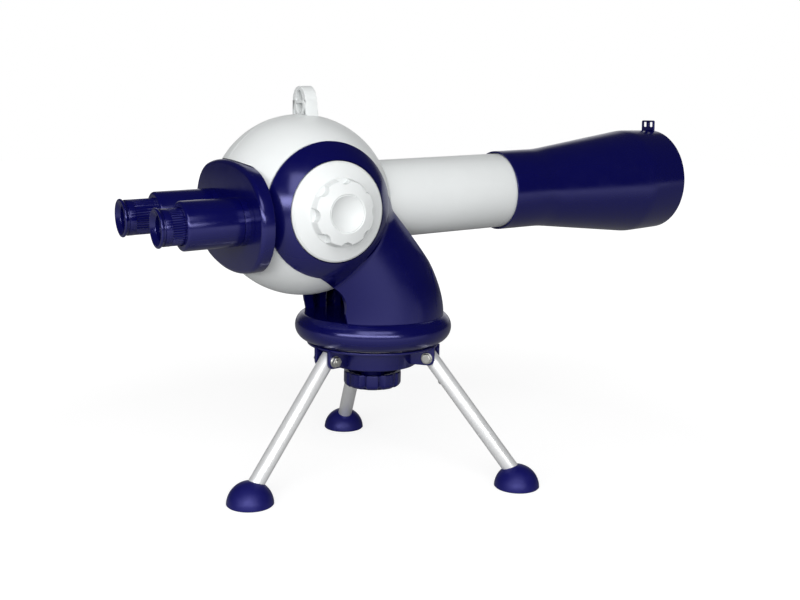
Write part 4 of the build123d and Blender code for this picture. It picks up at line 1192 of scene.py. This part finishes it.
def floor():
    """Pale floor that keeps the shadow; for the rays that see it, light of its own lifts it to the backdrop,
    more so further away, and for mirrored rays more so in front, where the lamps stand: a painted pool of
    lamp light."""
    reach = floor_reach * MM
    mesh = bpy.data.meshes.new("floor")
    mesh.from_pydata([(-reach, -reach, 0), (reach, -reach, 0), (reach, reach, 0), (-reach, reach, 0)], [],
                     [(0, 1, 2, 3)])
    ground = placed("floor", mesh)
    material, tree, place = new_material("pale_floor")
    path = add(tree, "LightPath", {})
    seen = add(tree, "Math", {"operation": "MAXIMUM"},
               [(0, path, "Is Camera Ray"), (1, path, "Is Transmission Ray")])
    ahead = add(tree, "VectorMath", {"operation": "DOT_PRODUCT", 1: tuple(-backdrop_way)},
                [(0, place, "Object")])
    # Painted pool of lamp light: mirrored rays see the floor glow more in front, fading far away
    front = add(tree, "MapRange", {1: floor_front_start * MM, 2: floor_front_end * MM,
                                   3: floor_mirrored_behind, 4: floor_mirrored_front}, [(0, ahead, "Value")])
    fade = add(tree, "MapRange", {1: floor_front_fade * MM, 2: floor_front_gone * MM,
                                  3: 1.0, 4: floor_front_left}, [(0, ahead, "Value")])
    bright = add(tree, "Math", {"operation": "MULTIPLY"}, [(0, front, 0), (1, fade, 0)])
    mirrored = add(tree, "Math", {"operation": "MULTIPLY"}, [(0, bright, 0), (1, path, "Is Glossy Ray")])
    share = add(tree, "Math", {"operation": "MAXIMUM"}, [(0, seen, 0), (1, mirrored, 0)])
    away = add(tree, "VectorMath", {"operation": "LENGTH"}, [(0, place, "Object")])
    rise = add(tree, "MapRange", {1: floor_lift_start * MM, 2: floor_lift_end * MM,
                                  3: floor_lift_near, 4: floor_lift_far}, [(0, away, "Value")])
    strength = add(tree, "Math", {"operation": "MULTIPLY"}, [(0, rise, 0), (1, share, 0)])
    matt = add(tree, "BsdfDiffuse", {"Color": linear(floor_colour)})
    lift = add(tree, "Emission", {"Color": linear("#ffffff")}, [("Strength", strength, 0)])
    both = add(tree, "AddShader", {}, [(0, matt, 0), (1, lift, 0)])
    add(tree, "OutputMaterial", {}, [("Surface", both, 0)])
    mesh.materials.append(material)


def world():
    """White for camera rays. For glossy and transmission rays it is white where the backdrop stands behind
    the object and dim in the room on the other side; the rays that light the object get the plain level."""
    sky = bpy.data.worlds.new("studio")
    sky.use_nodes = True
    tree = sky.node_tree
    tree.nodes.clear()
    path = add(tree, "LightPath", {})
    way = add(tree, "TexCoord", {})
    facing = add(tree, "VectorMath", {"operation": "DOT_PRODUCT", 1: tuple(backdrop_way)},
                 [(0, way, "Object")])
    backdrop = add(tree, "MapRange", {1: backdrop_edge, 2: backdrop_full, 3: room_level, 4: 1.0},
                   [(0, facing, "Value")])
    mirrored = add(tree, "Math", {"operation": "MAXIMUM"},
                   [(0, path, "Is Glossy Ray"), (1, path, "Is Transmission Ray")])
    lit = add(tree, "Mix", {2: world_strength}, [(0, mirrored, 0), (3, backdrop, 0)])
    strength = add(tree, "Mix", {3: 1.0}, [(0, path, "Is Camera Ray"), (2, lit, 0)])
    light = add(tree, "Background", {"Color": linear("#ffffff")}, [("Strength", strength, 0)])
    add(tree, "OutputWorld", {}, [("Surface", light, 0)])
    bpy.context.scene.world = sky


def softbox(name, place, width, height, watts):
    """Large soft lamp that looks at the object's middle."""
    data = bpy.data.lights.new(name, "AREA")
    data.shape = "RECTANGLE"
    data.size = width * MM
    data.size_y = height * MM
    data.energy = watts
    lamp = placed(name, data)
    lamp.matrix_world = looking(place, lamp_aim)


def studio():
    """Camera, floor, backdrop and softboxes."""
    camera()
    floor()
    world()
    for row in softboxes:
        softbox(*row)
    bpy.context.scene.view_settings.view_transform = "Standard"


dress_nodes()
tripod_head()
clevis_fasteners()
legs()
azimuth_knob()
base_collar()
fork()
ball()
tube_and_hood()
objective()
altitude_knobs()
eyepiece_plate()
holders()
eyepieces()
dressed_copy("front_sight", "front_sight_frame", "telescope", "blue_abs", 0.3)
dressed_copy("rear_sight", "rear_sight_arch", "telescope", "grey_abs", 0.4)
studio()
